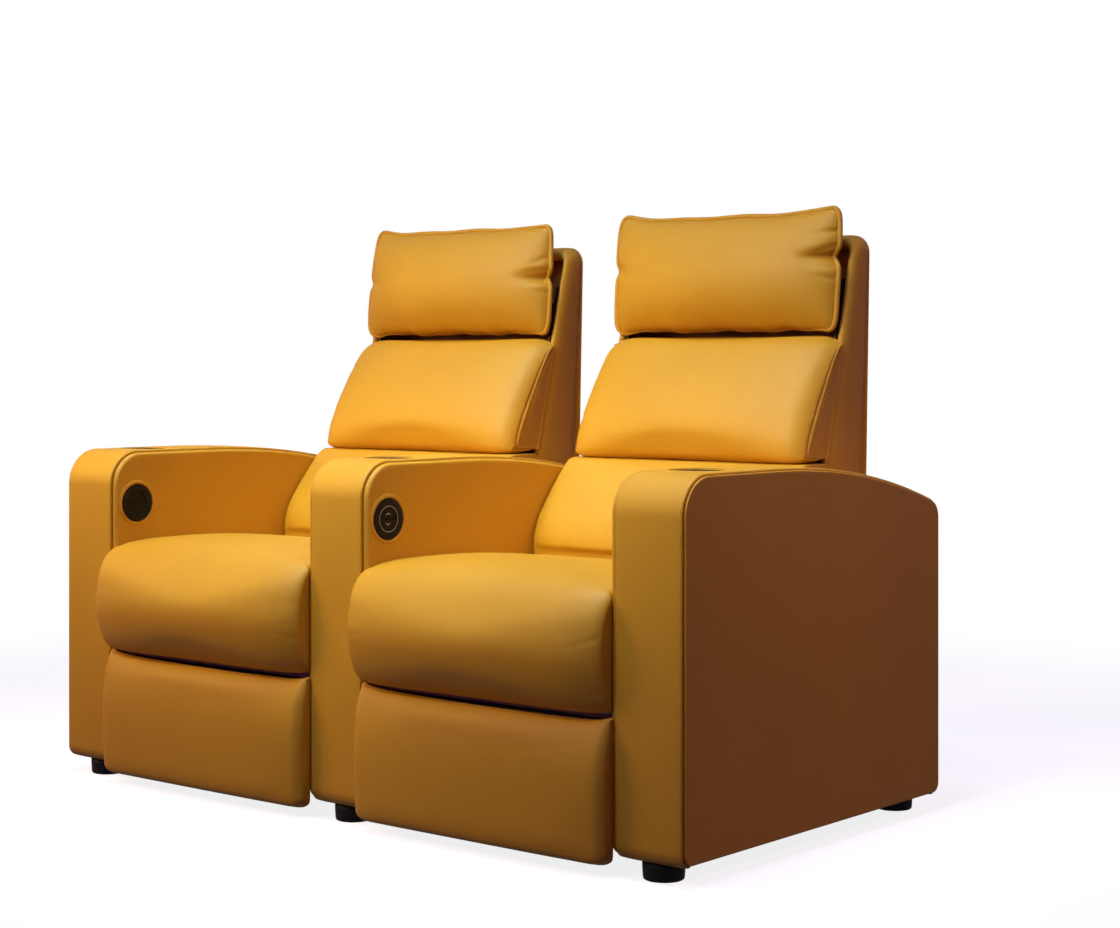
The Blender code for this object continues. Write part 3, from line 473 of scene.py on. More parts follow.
def side_panel(x, sign, seam, crown, hole):
    """A padded panel set back inside the band's edge: flat behind, a rolled lip that rises out of the seam's
    groove, and a slightly crowned face. Each ring of the plan is (drawn in, shrunk to, x)."""
    lip_roll = arm_half - seam - 0.6 * groove_width
    lip_depth = 0.6 * lip_roll
    face = x + sign * arm_half
    plan = [(groove_depth + 0.004, share, x + sign * seam) for share in (0.0, 0.5, 0.9, 1.0)]
    plan += [(groove_depth, 1.0, x + sign * (seam + 0.3 * groove_width)),
             (set_back + 0.4 * lip_roll, 1.0, x + sign * (seam + 0.5 * groove_width))]
    plan += [(set_back + lip_depth * (1 - cos(a)), 1.0, face - sign * lip_roll * (1 - sin(a)))
             for a in np.linspace(0, pi / 2, 8)[1:]]
    plan += [(set_back + lip_depth, share, face + sign * crown * (1 - share ** 2)) for share in
             (0.985, 0.95, 0.9, 0.82, 0.72, 0.6, 0.46, 0.3, 0.14, 0.0)]
    mesh = mesh_from(closed(rings(even(arm_line(), 420), plan)))
    if hole:
        mesh = cut_round(mesh, (face, control_y + arm_front, control_z), control_hole, 0.06, "X")
    return mesh


def arm_band(x, left_seam, right_seam):
    """The padded strip, a little full between two small rounded edges, carried over the arm's side view.
    Each column of its section is (place across, depth below the outline)."""
    line = even(arm_line(), 340, closed=False)
    left, right = band_edge - left_seam, right_seam - band_edge
    crown = [(left + share * (right - left), -band_crown * (1 - np.abs(2 * share - 1) ** 2.5))
             for share in np.linspace(0, 1, 19)]
    edge = [(band_edge * sin(a), band_edge * (1 - cos(a))) for a in np.linspace(0, pi / 2, 6)[1:]]
    edge += [(band_edge - 0.0002, 0.4 * groove_depth), (band_edge - 0.0010, groove_depth),
             (-0.4 * seam_x, band_thickness)]
    columns = crown + [(right + out, down) for out, down in edge]
    columns += [(left - out, down) for out, down in edge[::-1]]
    wide, deep = np.array(columns).T
    flat = line[:, None] + deep[None, :, None] * beside(line)[:, None]
    flat[..., 1] = np.maximum(flat[..., 1], arm_lift)
    grid = np.concatenate([np.broadcast_to(x + wide[None, :, None], flat[..., :1].shape), flat], -1)
    grid[..., 1] += arm_front
    return cut_round(capped(grid), (x, cup_y + arm_front, arm_top), cup_hole, 0.12)


def arm_welt(x):
    """The cord sewn into the groove of a seam, along the arm's whole outline."""
    return tube(rings(even(arm_line(), 420), [(0.8 * groove_depth, 1.0, x)])[0], welt_radius)


# Turned pieces, as (radius, height): the rim's heights count from the arm's top, the others from the floor
cup_profile = (
    (0, 0.5742), (cup_hole - 0.0070, 0.5742), (cup_hole - 0.0042, 0.5752), (cup_hole - 0.0030, 0.5780),
    (cup_hole - 0.0026, 0.6400), (cup_hole - 0.0024, 0.6480), (cup_hole - 0.0018, 0.6488),
    (cup_hole - 0.0010, 0.6484), (cup_hole - 0.0006, 0.6400), (cup_hole - 0.0006, 0.5730),
    (cup_hole - 0.0015, 0.5720), (0, 0.5720))
rim_profile = (
    (cup_hole + 0.0056, -0.0002), (cup_hole + 0.0034, 0.0007), (cup_hole + 0.0012, 0.0005),
    (cup_hole - 0.0002, -0.0004), (cup_hole - 0.0005, -0.0016), (cup_hole + 0.0010, -0.0024),
    (cup_hole + 0.0056, -0.0016), (cup_hole + 0.0056, -0.0002))
foot_profile = (
    (0, 0.0302), (0.0350, 0.0302), (0.0348, 0.0200), (0.0338, 0.0040), (0.0330, 0.0012), (0.0312, 0), (0, 0))


def build_arm(name, x):
    """An arm's strip, side panels with their welts, cup holder with its leather rim, and two feet."""
    seams = {side: outer_seam_x if name == f"arm_{side}" else seam_x for side in ("left", "right")}
    strip = arm_band(x, seams["left"], seams["right"])
    add(f"{name}_strip", strip, "leather", "frame", [f"{name}_band"])
    for side, sign in (("left", -1), ("right", 1)):
        hole = name != "arm_right" and side == "right"
        crown = outer_crown if seams[side] == outer_seam_x else inner_crown
        panel = side_panel(x, sign, seams[side], crown, hole)
        add(f"{name}_side_{side}", panel, "leather", "frame", [f"{name}_panel_{side}"])
        add(f"{name}_welt_{side}", arm_welt(x + sign * (seams[side] + 0.0006)), "welt", "frame")
    cup = lathe(cup_profile, (x, cup_y + arm_front, 0))
    add(f"{name}_cup", cup, "black_plastic", "frame", [f"{name}_cup_holder"])
    rim = [(radius, arm_top + height) for radius, height in rim_profile]
    add(f"{name}_cup_rim", lathe(rim, (x, cup_y + arm_front, 0)), "leather", "frame")
    for end, y in foot_places.items():
        foot = lathe(foot_profile, (x, y + arm_front, 0), sides=64)
        add(f"{name}_puck_{end}", foot, "black_plastic", "frame", [f"{name}_foot_{end}"])


# Controls

def slab(outline, low, high, roll):
    """A flat piece with a rounded front edge, from a clockwise outline, between two values of x."""
    plan = [(0.0, 0.0, low), (0.0, 1.0, low)]
    plan += [(roll * (1 - cos(a)), 1.0, high - roll * (1 - sin(a))) for a in np.linspace(0, pi / 2, 5)]
    plan += [(roll, 0.0, high)]
    return mesh_from(closed(rings(outline, plan)))


def chevron(sign):
    """A bent stroke that points up or down."""
    reach, rise, wide = 0.0062, 0.0036, 0.0011
    base = control_z + sign * 0.0078
    top = [(-reach, 0), (0, rise), (reach, 0), (reach, -wide), (0, rise - wide * 1.2), (-reach, -wide)]
    points = np.array([(control_y + y, base + sign * z) for y, z in top])
    return even(points if sign > 0 else points[::-1], 60)


# Turned pieces of a control, as (radius, distance out of the arm's face)
bezel_profile = (
    (0, -0.0117), (0.0370, -0.0117), (0.0374, -0.0110), (0.0375, 0.0), (0.0371, 0.0010), (0.0358, 0.0015),
    (0.0240, 0.0012), (0.0226, 0.0009), (0.0221, 0.0002), (0.0220, -well_depth), (0, -well_depth))
mark_profile = ((0.0228, 0.0006), (0.0228, 0.0013), (0.0236, 0.00135), (0.0236, 0.0006), (0.0228, 0.0006))
lip_profile = (
    (0.0382, -0.0080), (0.0380, -0.0010), (0.0384, 0.0008), (0.0396, 0.0018), (0.0414, 0.0017),
    (0.0440, 0.0008), (0.0466, -0.0003), (0.0460, -0.0030), (0.0430, -0.0080), (0.0382, -0.0080))


def build_control(name, x, printed):
    """Bezel, leather lip round it and two half-round buttons, with a chevron each and a ring if printed."""
    face = x + arm_half
    centre = (face, control_y + arm_front, control_z)
    add(f"{name}_ring", lathe(bezel_profile, centre, "X"), "black_plastic", "frame", [f"{name}_bezel"])
    if printed:
        add(f"{name}_mark", lathe(mark_profile, centre, "X"), "mark", "frame")
    add(f"{name}_lip", lathe(lip_profile, centre, "X"), "leather", "frame")
    low = face - well_depth + key_gap
    start = atan2(0.0006, key_radius)    # leaves half the gap between the two buttons
    bow = arc((0, 0), key_radius, pi - start, 2 * start - pi, 60)
    for half, sign in (("upper", 1), ("lower", -1)):
        flat = np.stack([control_y + bow[:, 0], control_z + sign * bow[:, 1]], 1)
        outline = even(flat if sign > 0 else flat[::-1], 140)
        body = f"{name}_{half}"
        key = slab(outline, low, low + key_thick, 0.0009)
        add(f"{body}_key", key, "button_plastic", body, [f"{name}_button_{half}"])
        if printed:
            add(f"{body}_arrow", slab(chevron(sign), low + 0.0043, low + 0.0048, 0.0001), "mark", body)


# Cushions

def plane_at(z):
    """The y of the back's front plane at a height."""
    return plane_y + plane_slope * (z - hinge_z)


def rear_at(z):
    """The y of the back's rear face at a height."""
    return rear_low_y + (rear_high_y - rear_low_y) * (z - skirt_bottom) / (shell_top - skirt_bottom)


# Rows round a cushion's end, from the side inwards: how far the section is drawn in there, and the distance
# from the end. The gusset ends have a sewn groove between the side and the front.
tight_end = ((0.0105, 0.0008), (0.0085, 0.0), (0.0062, 0.0003), (0.0040, 0.0014), (0.0020, 0.0038),
             (0.0006, 0.0076), (0.0, 0.0130))
pad_end = ((0.0165, 0.0012), (0.0128, 0.0), (0.0092, 0.0006), (0.0060, 0.0024), (0.0032, 0.0056),
           (0.0012, 0.0100), (0.0002, 0.0160))
gusset_end = ((0.0310, 0.0030), (0.0262, 0.0008), (0.0236, 0.0014), (0.0216, 0.0048), (0.0196, 0.0026),
              (0.0170, 0.0022), (0.0130, 0.0040), (0.0088, 0.0080), (0.0050, 0.0140), (0.0022, 0.0215),
              (0.0005, 0.0310))


def cushion_grids(section, half, ends, first):
    """A cushion across its width: the side-view section at each place, drawn in round the two ends by the
    rows given, times the section's own share at each point, with an end cap either side."""
    across, steps = 54, 8
    inset, distance = np.array(ends).T
    middle = np.linspace(-half + distance[-1], 0, across // 2 + 1)[1:]
    place = np.concatenate([distance - half, middle, -middle[-2::-1], (half - distance)[::-1]])
    inset = np.concatenate([inset, np.zeros(2 * len(middle) - 1), inset[::-1]])
    loops = smooth_loop(section(place / half), steps)
    flat, share = loops[..., :2], loops[..., 2:]
    flat = flat + inset[:, None, None] * share * inward(flat)
    grid = np.concatenate([np.broadcast_to(place[:, None, None], flat[..., :1].shape), flat], -1)
    grid[..., 1] += arm_front
    return closed(grid), end_cap(grid[0], first * steps), end_cap(grid[-1], first * steps)


def on_plane(z, share):
    """A point of a side view just before the back's front plane."""
    return plane_at(z) - 0.0008, z, share


def stack(*columns):
    """Side-view points (y, z, share of the end's draw) whose values may vary across the width, as one
    (places, points, 3) array."""
    columns = [column if len(column) == 3 else (*column, 1.0) for column in columns]
    wide = max(np.size(value) for column in columns for value in column)
    return np.array([[np.broadcast_to(v, (wide,)) for v in column] for column in columns]).transpose(2, 0, 1)


# The sections below give a side view's points, clockwise from the lower front, where u runs from -1 to 1
# across the cushion.

def seat_section(u):
    """A deep rolled nose, a crowned top that falls to the rear, and a flat underside."""
    nose = -0.060 + 0.005 * u ** 2 + (0.017 + 0.007 * u) * np.abs(u) ** 6
    crown = 0.0035 * (1 - u ** 2)
    low = deck_top + 0.0004
    lift = 0.002 * np.abs(u) ** 14
    return stack(
        (nose + 0.056, low - 0.0010, 0.1), (nose + 0.038, low + 0.001 + lift, 0.25),
        (nose + 0.0210, 0.277 + 0.5 * lift, 0.6), (nose + 0.0075, 0.306, 0.9),
        (nose, 0.344), (nose + 0.0015, 0.382), (nose + 0.010, 0.422), (nose + 0.028, 0.4505 + 0.5 * crown),
        (nose + 0.058, 0.4665 + crown), (nose + 0.105, 0.4725 + crown), (0.130, 0.4735 + crown),
        (0.220, 0.471 + crown), (0.320, 0.462 + crown), (0.400, 0.452 + crown), (0.436, 0.445 + crown),
        (0.4475, 0.428), (0.4480, 0.350), (0.4475, 0.278), (0.438, low), (0.300, low), (0.150, low),
        (0.050, low + 0.2 * lift))


def lumbar_section(u):
    """A wedge that swells over the rear of the seat and curves back under the back cushion."""
    pull = 0.006 * np.abs(u) ** 10
    crown = 0.006 * (1 - u ** 2)
    front = 0.4525 + 0.4 * pull
    return stack(
        (0.505, 0.2900), (front + 0.010, 0.312), (front, 0.360), (front, 0.420),
        (0.4455 + pull - 0.7 * crown, 0.480), (0.4565 + pull - crown, 0.520), (0.484 + pull - crown, 0.560),
        (0.515 + pull - crown, 0.598), (0.543 + pull - crown, 0.626, 0.6), (0.562 + pull, 0.6385, 0.4),
        (0.590, 0.6400, 0.3), (0.625, 0.6398, 0.3), (0.6505, 0.6335, 0.3), on_plane(0.570, 0.2),
        on_plane(0.470, 0.2), on_plane(0.380, 0.2), on_plane(0.305, 0.4), (0.545, 0.2905))


def back_section(u):
    """Thick at the rolled lower edge, thin at the top, and crowned across the width."""
    crown = 0.024 * (1 - np.abs(u) ** 2.6)
    pull = 1 - 0.06 * np.abs(u) ** 10
    rows = ((0.6400, 0.050, 0.0, 0.5), (0.6405, 0.082, 0.15, 0.7), (0.651, 0.096, 0.40, 1.0),
            (0.680, 0.099, 0.65, 1.0), (0.712, 0.094, 0.88, 1.0), (0.748, 0.084, 1.0, 1.0),
            (0.788, 0.070, 0.95, 0.95), (0.828, 0.053, 0.75, 0.75), (0.860, 0.036, 0.45, 0.55),
            (0.876, 0.018, 0.15, 0.3))
    front = []
    for z, thick, share, drawn in rows:
        height = z - 0.018 * np.abs(u) ** 14 * np.clip((z - 0.76) / 0.10, 0, 1)
        front.append((plane_at(height) - (thick + share * crown) * pull, height, drawn))
    top = 0.880 - 0.018 * np.abs(u) ** 14
    return stack(*front, (plane_at(top) - 0.004, top, 0.2), on_plane(top - 0.009, 0.0), on_plane(0.780, 0.0),
                 on_plane(0.700, 0.0), on_plane(0.652, 0.0), (plane_at(0.6435) - 0.012, 0.6435, 0.3))


def pad_section(u):
    """The footrest: flat behind, rounded edges, a front that is a little crowned, lower corners that round
    upwards and a top edge that curls up at its two ends."""
    low = 0.0160 + 0.009 * np.abs(u) ** 24
    high = 0.2490 - 0.0020 * u + 0.0090 * np.abs(u) ** 14
    front = -0.0300 - 0.0045 * (1 - u ** 2) + 0.002 * np.abs(u) ** 10
    rear = 0.0006 + 0.0016 * np.abs(u) ** 20
    return stack(
        (rear, low + 0.003, 0.1), (rear - 0.012, low, 0.5), (front + 0.010, low + 0.001),
        (front + 0.002, low + 0.009), (front, low + 0.030), (front - 0.001, 0.080),
        (front - 0.0015, 0.130), (front - 0.0004, 0.170), (front + 0.0028, high - 0.050),
        (front + 0.0078, high - 0.026), (front + 0.0145, high - 0.0080), (front + 0.0220, high + 0.0005, 0.6),
        (rear - 0.004, high - 0.001, 0.3), (rear, high - 0.004, 0.1), (rear, 0.190, 0.0), (rear, 0.134, 0.0),
        (rear, 0.080, 0.0))


def between_arms(points):
    """Points kept between the arms."""
    return np.column_stack([np.clip(points[:, 0], -cushion_room, cushion_room), points[:, 1:]])


def on_deck(points):
    """Room of the seat: above its deck and before the lumbar cushion's foot."""
    points = between_arms(points)
    points[:, 2] = np.maximum(points[:, 2], deck_top)
    points[:, 1] = np.minimum(points[:, 1], arm_front + seat_rear)
    return points


def before_plane(points):
    """Points kept just before the back's front plane."""
    points = between_arms(points)
    points[:, 1] = np.minimum(points[:, 1], arm_front + plane_at(points[:, 2]) - 0.0006)
    return points


def lumbar_room(points):
    """Room of the lumbar cushion: behind the seat, and further forward only above the seat's top."""
    points = before_plane(points)
    points[:, 2] = np.clip(points[:, 2], *lumbar_heights)
    over_seat = points[:, 2] > 0.468
    points[:, 1] = np.maximum(points[:, 1], arm_front + np.where(over_seat, 0.4320, 0.4508))
    return points


def back_room(points):
    """Room of the back cushion."""
    points = before_plane(points)
    points[:, 2] = np.clip(points[:, 2], *back_heights)
    return points


def on_board(points):
    """Room of the footrest's pad: before its board, with its edges a little over it."""
    points = between_arms(points)
    points[:, 1] = np.minimum(points[:, 1], arm_front + pad_rear)
    points[:, 2] = np.clip(points[:, 2], *pad_heights)
    return points


def before_arms(points, widen):
    """The part of a cushion that stands before the arms spreads a little over their rounded edges."""
    forward = np.clip((arm_front + 0.009 - points[:, 1]) / 0.007, 0, 1)
    points[:, 0] *= 1 + widen * forward ** 2 * (3 - 2 * forward)
    return points


def cushion_form(section, half, ends, seam, first, cap, limits, widen=0.0):
    """A cushion at the middle of a seat: its grid, swollen with its end seams held, and smoothed once.

    seam is the row of the end that is sewn, first the section's point where the end caps start, and widen
    the share by which the part before the arms spreads.
    """
    mesh = mesh_from(*cushion_grids(section, half, ends, first))
    from_side = half - np.abs(coordinates(mesh)[:, 0])
    inflate(mesh, np.abs(ends[seam][1] - from_side) < 0.0004, cap, limits)
    set_coordinates(mesh, before_arms(coordinates(mesh), widen))
    return smoothed(mesh)


def gathers(points, seed, half, seam, depth, reach, lowest, highest):
    """Small puckers beside both end seams: narrow dips at uneven heights that push the front backwards and
    fade with the distance from the seam."""
    draw = np.random.default_rng(seed)
    move = np.zeros(len(points))
    for side in (-1, 1):
        beyond = half - seam - side * points[:, 0]
        fade = np.exp(-np.maximum(beyond, 0) / reach) * np.clip(1 + beyond / 0.004, 0, 1)
        for height in draw.uniform(lowest, highest, 9):
            width = draw.uniform(0.0035, 0.0075)
            tilt = draw.uniform(-0.35, 0.35)
            move += depth * draw.uniform(0.3, 1.0) * fade * bell(points[:, 2] - tilt * beyond, height, width)
    return points + move[:, None] * np.array([0, 1, 0])


def creased(points, marks):
    """Press creases into a surface: each runs from a point in a direction, with a bell-shaped profile
    across it, and fades along its length; points are moved straight back."""
    move = np.zeros(len(points))
    for x, z, angle, length, width, depth in marks:
        ahead = np.array([cos(angle), sin(angle)])
        offset = points[:, [0, 2]] - np.array([x, z])
        along = offset @ ahead
        aside = offset @ np.array([-ahead[1], ahead[0]])
        fade = np.clip(1 - along / length, 0, 1) ** 1.3 * np.clip(1 + along / 0.003, 0, 1)
        spread = width * (0.7 + 0.6 * np.clip(along / length, 0, 1))
        move += depth * fade * np.exp(-(aside / spread) ** 2)
    return points + move[:, None] * np.array([0, 1, 0])


def bell(value, middle, width):
    """A smooth bump, 1 at the middle."""
    return np.exp(-((value - middle) / width) ** 2)


def pillow_grids():
    """Two sheets sewn along their edges, at the middle of a seat. The seam has raised, rounded corners and
    an uneven lower edge. Both sheets bulge by the product of (1 - s^2) and (1 - t^2) to a power near a half,
    the back one only where there is room, and the front one hangs over at its foot."""
    s, t = np.meshgrid(np.sin(np.linspace(-pi / 2, pi / 2, 65)), np.sin(np.linspace(-pi / 2, pi / 2, 73)))
    corner = np.abs(s) ** 18 * np.abs(t) ** 8
    wide = pillow_middle + pillow_half * s * (1 - 0.045 * corner)
    low = pillow_low + 0.0016 * np.sin(9 * s + 1.0) + 0.0012 * np.sin(23 * s) - 0.0100 * np.abs(s) ** 6
    high = pillow_high + 0.0180 * np.abs(s) ** 5 + 0.0010 * np.sin(11 * s)
    rise = low + (high - low) * (t + 1) / 2
    rise = rise + (0.995 - rise) * 0.075 * corner
    foot = (1 - t) / 2
    seam = 0.694 + 0.150 * (rise - 0.862) + 0.008 * foot ** 4
    bulge = (1 - s ** 2) ** 0.50 * (1 - t ** 2) ** 0.56
    hang = pillow_hang * (1 - s ** 2) ** 0.35 * (1 - t ** 2) ** 0.40 * foot ** 2.5
    room = np.maximum(plane_at(rise) - seam - 0.003, 0.004)
    front = np.stack([wide, arm_front + seam - pillow_bulge * bulge, rise - hang], -1)
    back = np.stack([wide, arm_front + seam + room * bulge, rise], -1)
    edge = np.concatenate([front[0], front[1:, -1], front[-1, -2::-1], front[-2:0:-1, 0]])
    return front, back, edge


def pillow_form():
    """The pillow's swollen mesh and the line of its seam."""
    front, back, edge = pillow_grids()
    mesh = mesh_from(front, back[:, ::-1])
    inflate(mesh, near_line(coordinates(mesh), edge), 0.010, rounds=12)
    return smoothed(mesh), edge


def near_line(points, line):
    """Which of the points lie on the points of a line, compared to a tenth of a millimetre."""
    keys = {tuple(key) for key in np.round(line * 1e4).astype(int)}
    return np.array([tuple(key) in keys for key in np.round(points * 1e4).astype(int)])


# Pushes at a pillow's edge: place (x, z), reach in x and z, and move in x, y and z. A short reach is a pinch.
pillow_pushes = {
    "left": ((0.254, 1.004, 0.045, 0.012, -0.0150, 0.008, 0), (0.26, 1.11, 0.10, 0.09, -0.0120, 0, -0.0060),
             (-0.263, 1.000, 0.050, 0.012, 0.0050, 0.003, 0), (-0.26, 1.11, 0.08, 0.06, 0.0040, 0, -0.0020)),
    "right": ((0.254, 1.024, 0.050, 0.013, -0.0165, 0.008, 0), (0.26, 1.11, 0.10, 0.07, -0.0050, 0, 0),
              (-0.263, 1.008, 0.050, 0.012, 0.0060, 0.003, 0), (-0.26, 1.08, 0.10, 0.09, -0.0060, 0, 0.0020)),
}
# Creases of each pillow: start (x, z) at the seam, angle inwards, length, width and depth
pillow_creases = {
    "left": ((0.252, 1.022, 3.28, 0.060, 0.0065, 0.0066), (0.252, 1.048, 3.62, 0.044, 0.0070, 0.0044),
             (0.250, 0.996, 3.05, 0.050, 0.0065, 0.0060), (0.252, 0.970, 2.85, 0.034, 0.0060, 0.0026),
             (-0.258, 1.098, -0.9, 0.034, 0.0060, 0.0022)),
    "right": ((0.252, 1.072, 3.22, 0.052, 0.0075, 0.0056), (0.252, 1.045, 3.55, 0.044, 0.0065, 0.0064),
              (0.250, 1.026, 3.22, 0.052, 0.0060, 0.0054), (0.252, 1.006, 3.05, 0.060, 0.0075, 0.0062),
              (0.252, 0.982, 2.90, 0.042, 0.0065, 0.0032), (-0.258, 1.020, -0.2, 0.028, 0.0060, 0.0022)),
}


def pushed(points, pushes):
    """Points moved by smooth bumps round the given places."""
    moved = points.copy()
    for x, z, reach_x, reach_z, *move in pushes:
        share = bell(points[:, 0], x, reach_x) * bell(points[:, 2], z, reach_z)
        moved += share[:, None] * np.array(move)
    return moved


def pillow_detail(points, side):
    """A pillow's points with the creases and pushes of its side."""
    return pushed(creased(points, pillow_creases[side]), pillow_pushes[side])


def placed(form, x, change, *settings):
    """A copy of a form moved to a seat, after a change to its points."""
    mesh = form.copy()
    set_coordinates(mesh, change(coordinates(mesh), *settings) + np.array([x, 0, 0]))
    return mesh


def wing_wall(x):
    """The back's padded wall: a closed wall section carried up one side, over the top and down the other.
    Its outer rear edge folds in at 45 degrees, which leaves a V-shaped groove along that edge."""
    half, corner = cushion_half, 0.034
    path = even(np.vstack([
        [(-half, shell_bottom)], arc((-half + corner, shell_top - corner), corner, pi, -pi / 2, 12),
        arc((half - corner, shell_top - corner), corner, pi / 2, -pi / 2, 12), [(half, shell_bottom)]]),
        240, closed=False)
    into = beside(path)[:, None]
    top = np.clip(-into[..., 1], 0, 1) ** 2
    wall = 0.019 + 0.009 * top
    fold = 0.010 + 0.012 * top
    lip = wall / 2
    deep = rear_at(path[:, 1:]) - plane_at(path[:, 1:])
    shoulder = np.minimum(0.032, 0.55 * deep)
    turn = np.linspace(0, pi, 13)
    quarter = np.linspace(pi / 2, 0, 7)
    inner, outer = np.array([0.25, 0.5, 0.75, 1.0]), np.array([0.85, 0.75, 0.65])
    # Groups of columns: how far in from the outside, share of the depth, and inset from that end of the depth
    groups = ((lip * (1 - np.cos(turn)), 0 * turn,
               np.where(turn < pi / 2, shoulder, lip) * (1 - np.sin(turn))),
              (wall, inner, 0),
              (fold * (1 - np.sin(quarter)), np.ones(7), fold * (1 - np.cos(quarter))[::-1]),
              (0, outer, 0))
    drawn, share, inset = (np.concatenate([
        np.broadcast_to(group[k], (len(path), len(group[1]))) for group in groups], 1) for k in range(3))
    flat = path[:, None] + drawn[..., None] * into
    z = flat[..., 1]
    y = (1 - share) * (plane_at(z) + inset) + share * (rear_at(z) - inset)
    return capped(np.stack([x + flat[..., 0], arm_front + y, z], -1))


def rear_outline():
    """The rear panel's outline (x, z), clockwise, with rounded corners."""
    half, low, high, r = cushion_half - 0.0225, skirt_bottom + 0.002, shell_top - 0.0285, 0.014
    corners = ((-half + r, low + r, -pi / 2), (-half + r, high - r, pi), (half - r, high - r, pi / 2),
               (half - r, low + r, 0))
    return even(np.vstack([arc((x, z), r, start, -pi / 2, 6) for x, z, start in corners]), 280)


def rear_panel(x, outline):
    """A crowned panel with a rolled edge. Each ring of the plan is (drawn in, shrunk to, out of the rear)."""
    roll = 0.006
    plan = [(0.0, share, -0.026) for share in (0.0, 0.6, 1.0)]
    plan += [(roll * (1 - cos(a)), 1.0, -roll * (1 - sin(a))) for a in np.linspace(0, pi / 2, 6)]
    plan += [(roll, share, 0.004 * (1 - share ** 2)) for share in (0.97, 0.9, 0.8, 0.65, 0.5, 0.3, 0.0)]
    made = []
    for inset, shrink, out in plan:
        wide, z = drawn_in(outline, inset, shrink).T
        made.append(np.column_stack([x + wide, arm_front + rear_at(z) + out - 0.0005, z]))
    return mesh_from(closed(np.array(made)))


def build_shell(name, x):
    """The back's padded wall, and the panel behind it with its welt."""
    body = f"{name}_back"
    add(f"{name}_wings", wing_wall(x), "leather", body, [f"{name}_back_shell"])
    outline = rear_outline()
    wide, z = outline.T
    add(f"{name}_rear_panel", rear_panel(x, outline), "leather", body)
    line = np.column_stack([x + wide, arm_front + rear_at(z) - 0.0008, z])
    add(f"{name}_rear_welt", tube(line, panel_welt_radius), "welt", body)


def build_seat(name, x, forms):
    """The five padded pieces of a seat, from the forms, and its shell."""
    back = f"{name}_back"
    parts = (("seat", "frame", "seat_cushion"), ("lumbar", back, "lumbar_cushion"),
             ("back", back, "back_cushion"), ("footrest", f"{name}_footrest", "footrest_pad"))
    for number, (kind, body, solid) in enumerate(parts):
        seed = 10 * number + (name == "right")
        mesh = placed(forms[kind], x, gathers, seed, *puckers_of[kind])
        add(f"{name}_{kind}_cover", mesh, "leather", body, [f"{name}_{solid}"])
    pillow, edge = forms["pillow"]
    mesh = placed(pillow, x, pillow_detail, name)
    add(f"{name}_pillow", mesh, "leather", back, [f"{name}_head_pillow"])
    middle = edge.mean(0)
    outward = (edge - middle) / np.linalg.norm(edge - middle, axis=1, keepdims=True)
    line = pushed(edge + 0.0026 * outward, pillow_pushes[name])
    add(f"{name}_pillow_welt", tube(even(line + np.array([x, 0, 0]), 300), pillow_welt_radius), "welt", back)
    build_shell(name, x)


# Puckers of each cushion: half width, seam's distance from the end, depth, reach, lowest and highest
puckers_of = {
    "seat": (cushion_room, 0.0, 0.0007, 0.026, 0.29, 0.40),
    "lumbar": (cushion_room, 0.0, 0.0010, 0.012, 0.50, 0.60),
    "back": (cushion_half, 0.005, 0.0020, 0.014, 0.70, 0.86),
    "footrest": (cushion_room, -0.008, 0.0007, 0.014, 0.18, 0.25),
}
forms = {
    "seat": cushion_form(seat_section, cushion_room, tight_end, 2, 4, 0.007, on_deck, 0.022),
    "lumbar": cushion_form(lumbar_section, cushion_room, tight_end, 2, 0, 0.005, lumbar_room),
    "back": cushion_form(back_section, cushion_half, gusset_end, 3, 0, 0.008, back_room),
    "footrest": cushion_form(pad_section, cushion_room, pad_end, 1, 0, 0.004, on_board, 0.032),
    "pillow": pillow_form(),
}
for arm_name, arm_x in arm_places.items():
    build_arm(arm_name, arm_x)
build_control("control_left", arm_places["arm_left"], False)
build_control("control_right", arm_places["arm_middle"], True)
for seat_name, seat_x in seat_places.items():
    build_seat(seat_name, seat_x, forms)

# Finishes of the frame's own nodes
for item in frame["record"]["subparts"]:
    solid = frame["nodes"][item["node"]]
    for place in solid.material_slots:
        place.material = looks[item["material_slot"]]


# Floor, light and camera

def seen_share(tree):
    """How much of the white background a ray sees: all for the camera and glass, a little for gloss."""
    rays = node(tree, 'LightPath').outputs
    gloss = node(tree, 'Math', {0: rays["Is Glossy Ray"], 1: 0.25}, operation='MULTIPLY').outputs[0]
    clear = node(tree, 'Math', {0: rays["Is Camera Ray"], 1: rays["Is Transmission Ray"]},
                 operation='MAXIMUM').outputs[0]
    return node(tree, 'Math', {0: gloss, 1: clear}, operation='MAXIMUM').outputs[0]


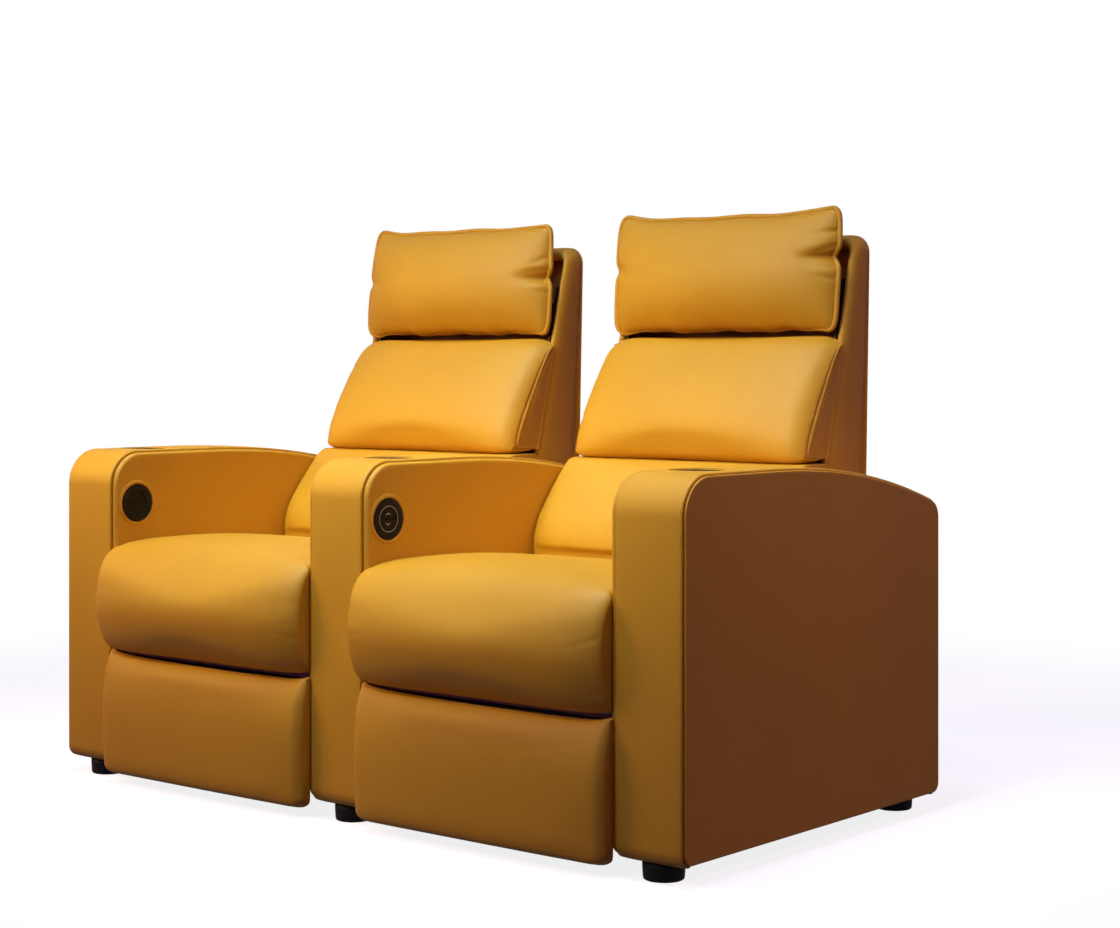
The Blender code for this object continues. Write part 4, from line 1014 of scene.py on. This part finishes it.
def build_floor():
    """A pale floor that looks white to the camera, darkened only by the object's soft shadow."""
    mesh = bpy.data.meshes.new("floor")
    size = 9.0
    corners = [(-size, -size, 0), (size, -size, 0), (size, size, 0), (-size, size, 0)]
    mesh.from_pydata(corners, [], [(0, 1, 2, 3)])
    floor = bpy.data.objects.new("floor", mesh)
    bpy.context.collection.objects.link(floor)
    made = bpy.data.materials.new("pale_floor")
    made.use_nodes = True
    tree = made.node_tree
    tree.nodes.clear()
    where = node(tree, 'TexCoord').outputs["Object"]
    away = node(tree, 'VectorMath', {0: where}, operation='LENGTH').outputs["Value"]
    far = ramp(tree, away, 1.4, 2.8)
    white = node(tree, 'Emission', {"Color": (1, 1, 1, 1), "Strength": 1.0}).outputs[0]
    glow = node(tree, 'Emission', {"Color": (1, 1, 1, 1), "Strength": 0.84}).outputs[0]
    lit = node(tree, 'BsdfDiffuse', {"Color": (0.50, 0.46, 0.62, 1)}).outputs[0]
    near = node(tree, 'AddShader', {0: glow, 1: lit}).outputs[0]
    seen = node(tree, 'MixShader', {0: far, 1: near, 2: white}).outputs[0]
    real = node(tree, 'BsdfDiffuse', {"Color": (0.04, 0.025, 0.018, 1)}).outputs[0]
    both = node(tree, 'MixShader', {0: seen_share(tree), 1: real, 2: seen}).outputs[0]
    node(tree, 'OutputMaterial', {"Surface": both})
    mesh.materials.append(made)


def build_world(strength):
    """White to the camera, and a dim even light on the object."""
    world = bpy.data.worlds.new("studio")
    world.use_nodes = True
    tree = world.node_tree
    tree.nodes.clear()
    dim = node(tree, 'Background',
               {"Color": (0.50, 0.08, 0.95, 1), "Strength": strength}).outputs[0]
    white = node(tree, 'Background', {"Color": (1, 1, 1, 1), "Strength": 1.0}).outputs[0]
    both = node(tree, 'MixShader', {0: seen_share(tree), 1: dim, 2: white}).outputs[0]
    node(tree, 'OutputWorld', {"Surface": both})
    bpy.context.scene.world = world


def area_light(name, place, target, size, power, colour, spread):
    """A soft rectangular lamp turned to a target, with a grid that narrows its beam to the spread."""
    data = bpy.data.lights.new(name, 'AREA')
    data.shape = 'RECTANGLE'
    data.size, data.size_y = size
    data.energy = power
    data.color = colour
    data.spread = radians(spread)
    lamp = bpy.data.objects.new(name, data)
    lamp.location = place
    lamp.rotation_euler = (Vector(target) - Vector(place)).to_track_quat('-Z', 'Y').to_euler()
    bpy.context.collection.objects.link(lamp)


def build_camera():
    """The photograph's camera, level, with its place, turn, lens and shift as fitted."""
    data = bpy.data.cameras.new("view")
    data.lens = 68.67
    data.sensor_width = 36.0
    data.shift_y = -0.0899
    camera = bpy.data.objects.new("view", data)
    camera.location = (2.757, -2.689 + arm_front, 0.8244)
    camera.rotation_euler = (radians(90), 0, radians(39.72))
    bpy.context.collection.objects.link(camera)
    bpy.context.scene.camera = camera


build_floor()
build_world(0.17)
# Lamps: place, target, size, watts, colour, and the beam's spread in degrees
area_light("overhead", (0.0, -0.58, 2.7), (0.0, -0.2, 0.62), (1.9, 0.8), 7.4, (0.80, 1.0, 0.90), 60)
area_light("pillows", (-0.2, -1.6, 2.1), (0.0, 0.30, 1.08), (1.6, 0.4), 0.7, (0.95, 1.0, 0.85), 18)
area_light("front", (0.0, -1.7, 2.2), (0.0, -0.3, 0.85), (2.0, 0.3), 2.3, (1.0, 0.92, 0.60), 26)
area_light("front_high", (-0.4, -2.4, 2.3), (0.0, -0.15, 0.6), (1.5, 0.8), 2.1, (1.0, 0.88, 0.70), 50)
area_light("left", (-2.2, -1.6, 1.5), (0.0, -0.05, 0.55), (1.0, 1.0), 9.0, (1.0, 0.57, 0.10), 90)
area_light("right", (2.9, 0.5, 2.0), (0.7, 0.0, 0.5), (0.8, 0.8), 2.1, (1.0, 0.55, 0.22), 80)
build_camera()
bpy.context.scene.view_settings.view_transform = 'Standard'
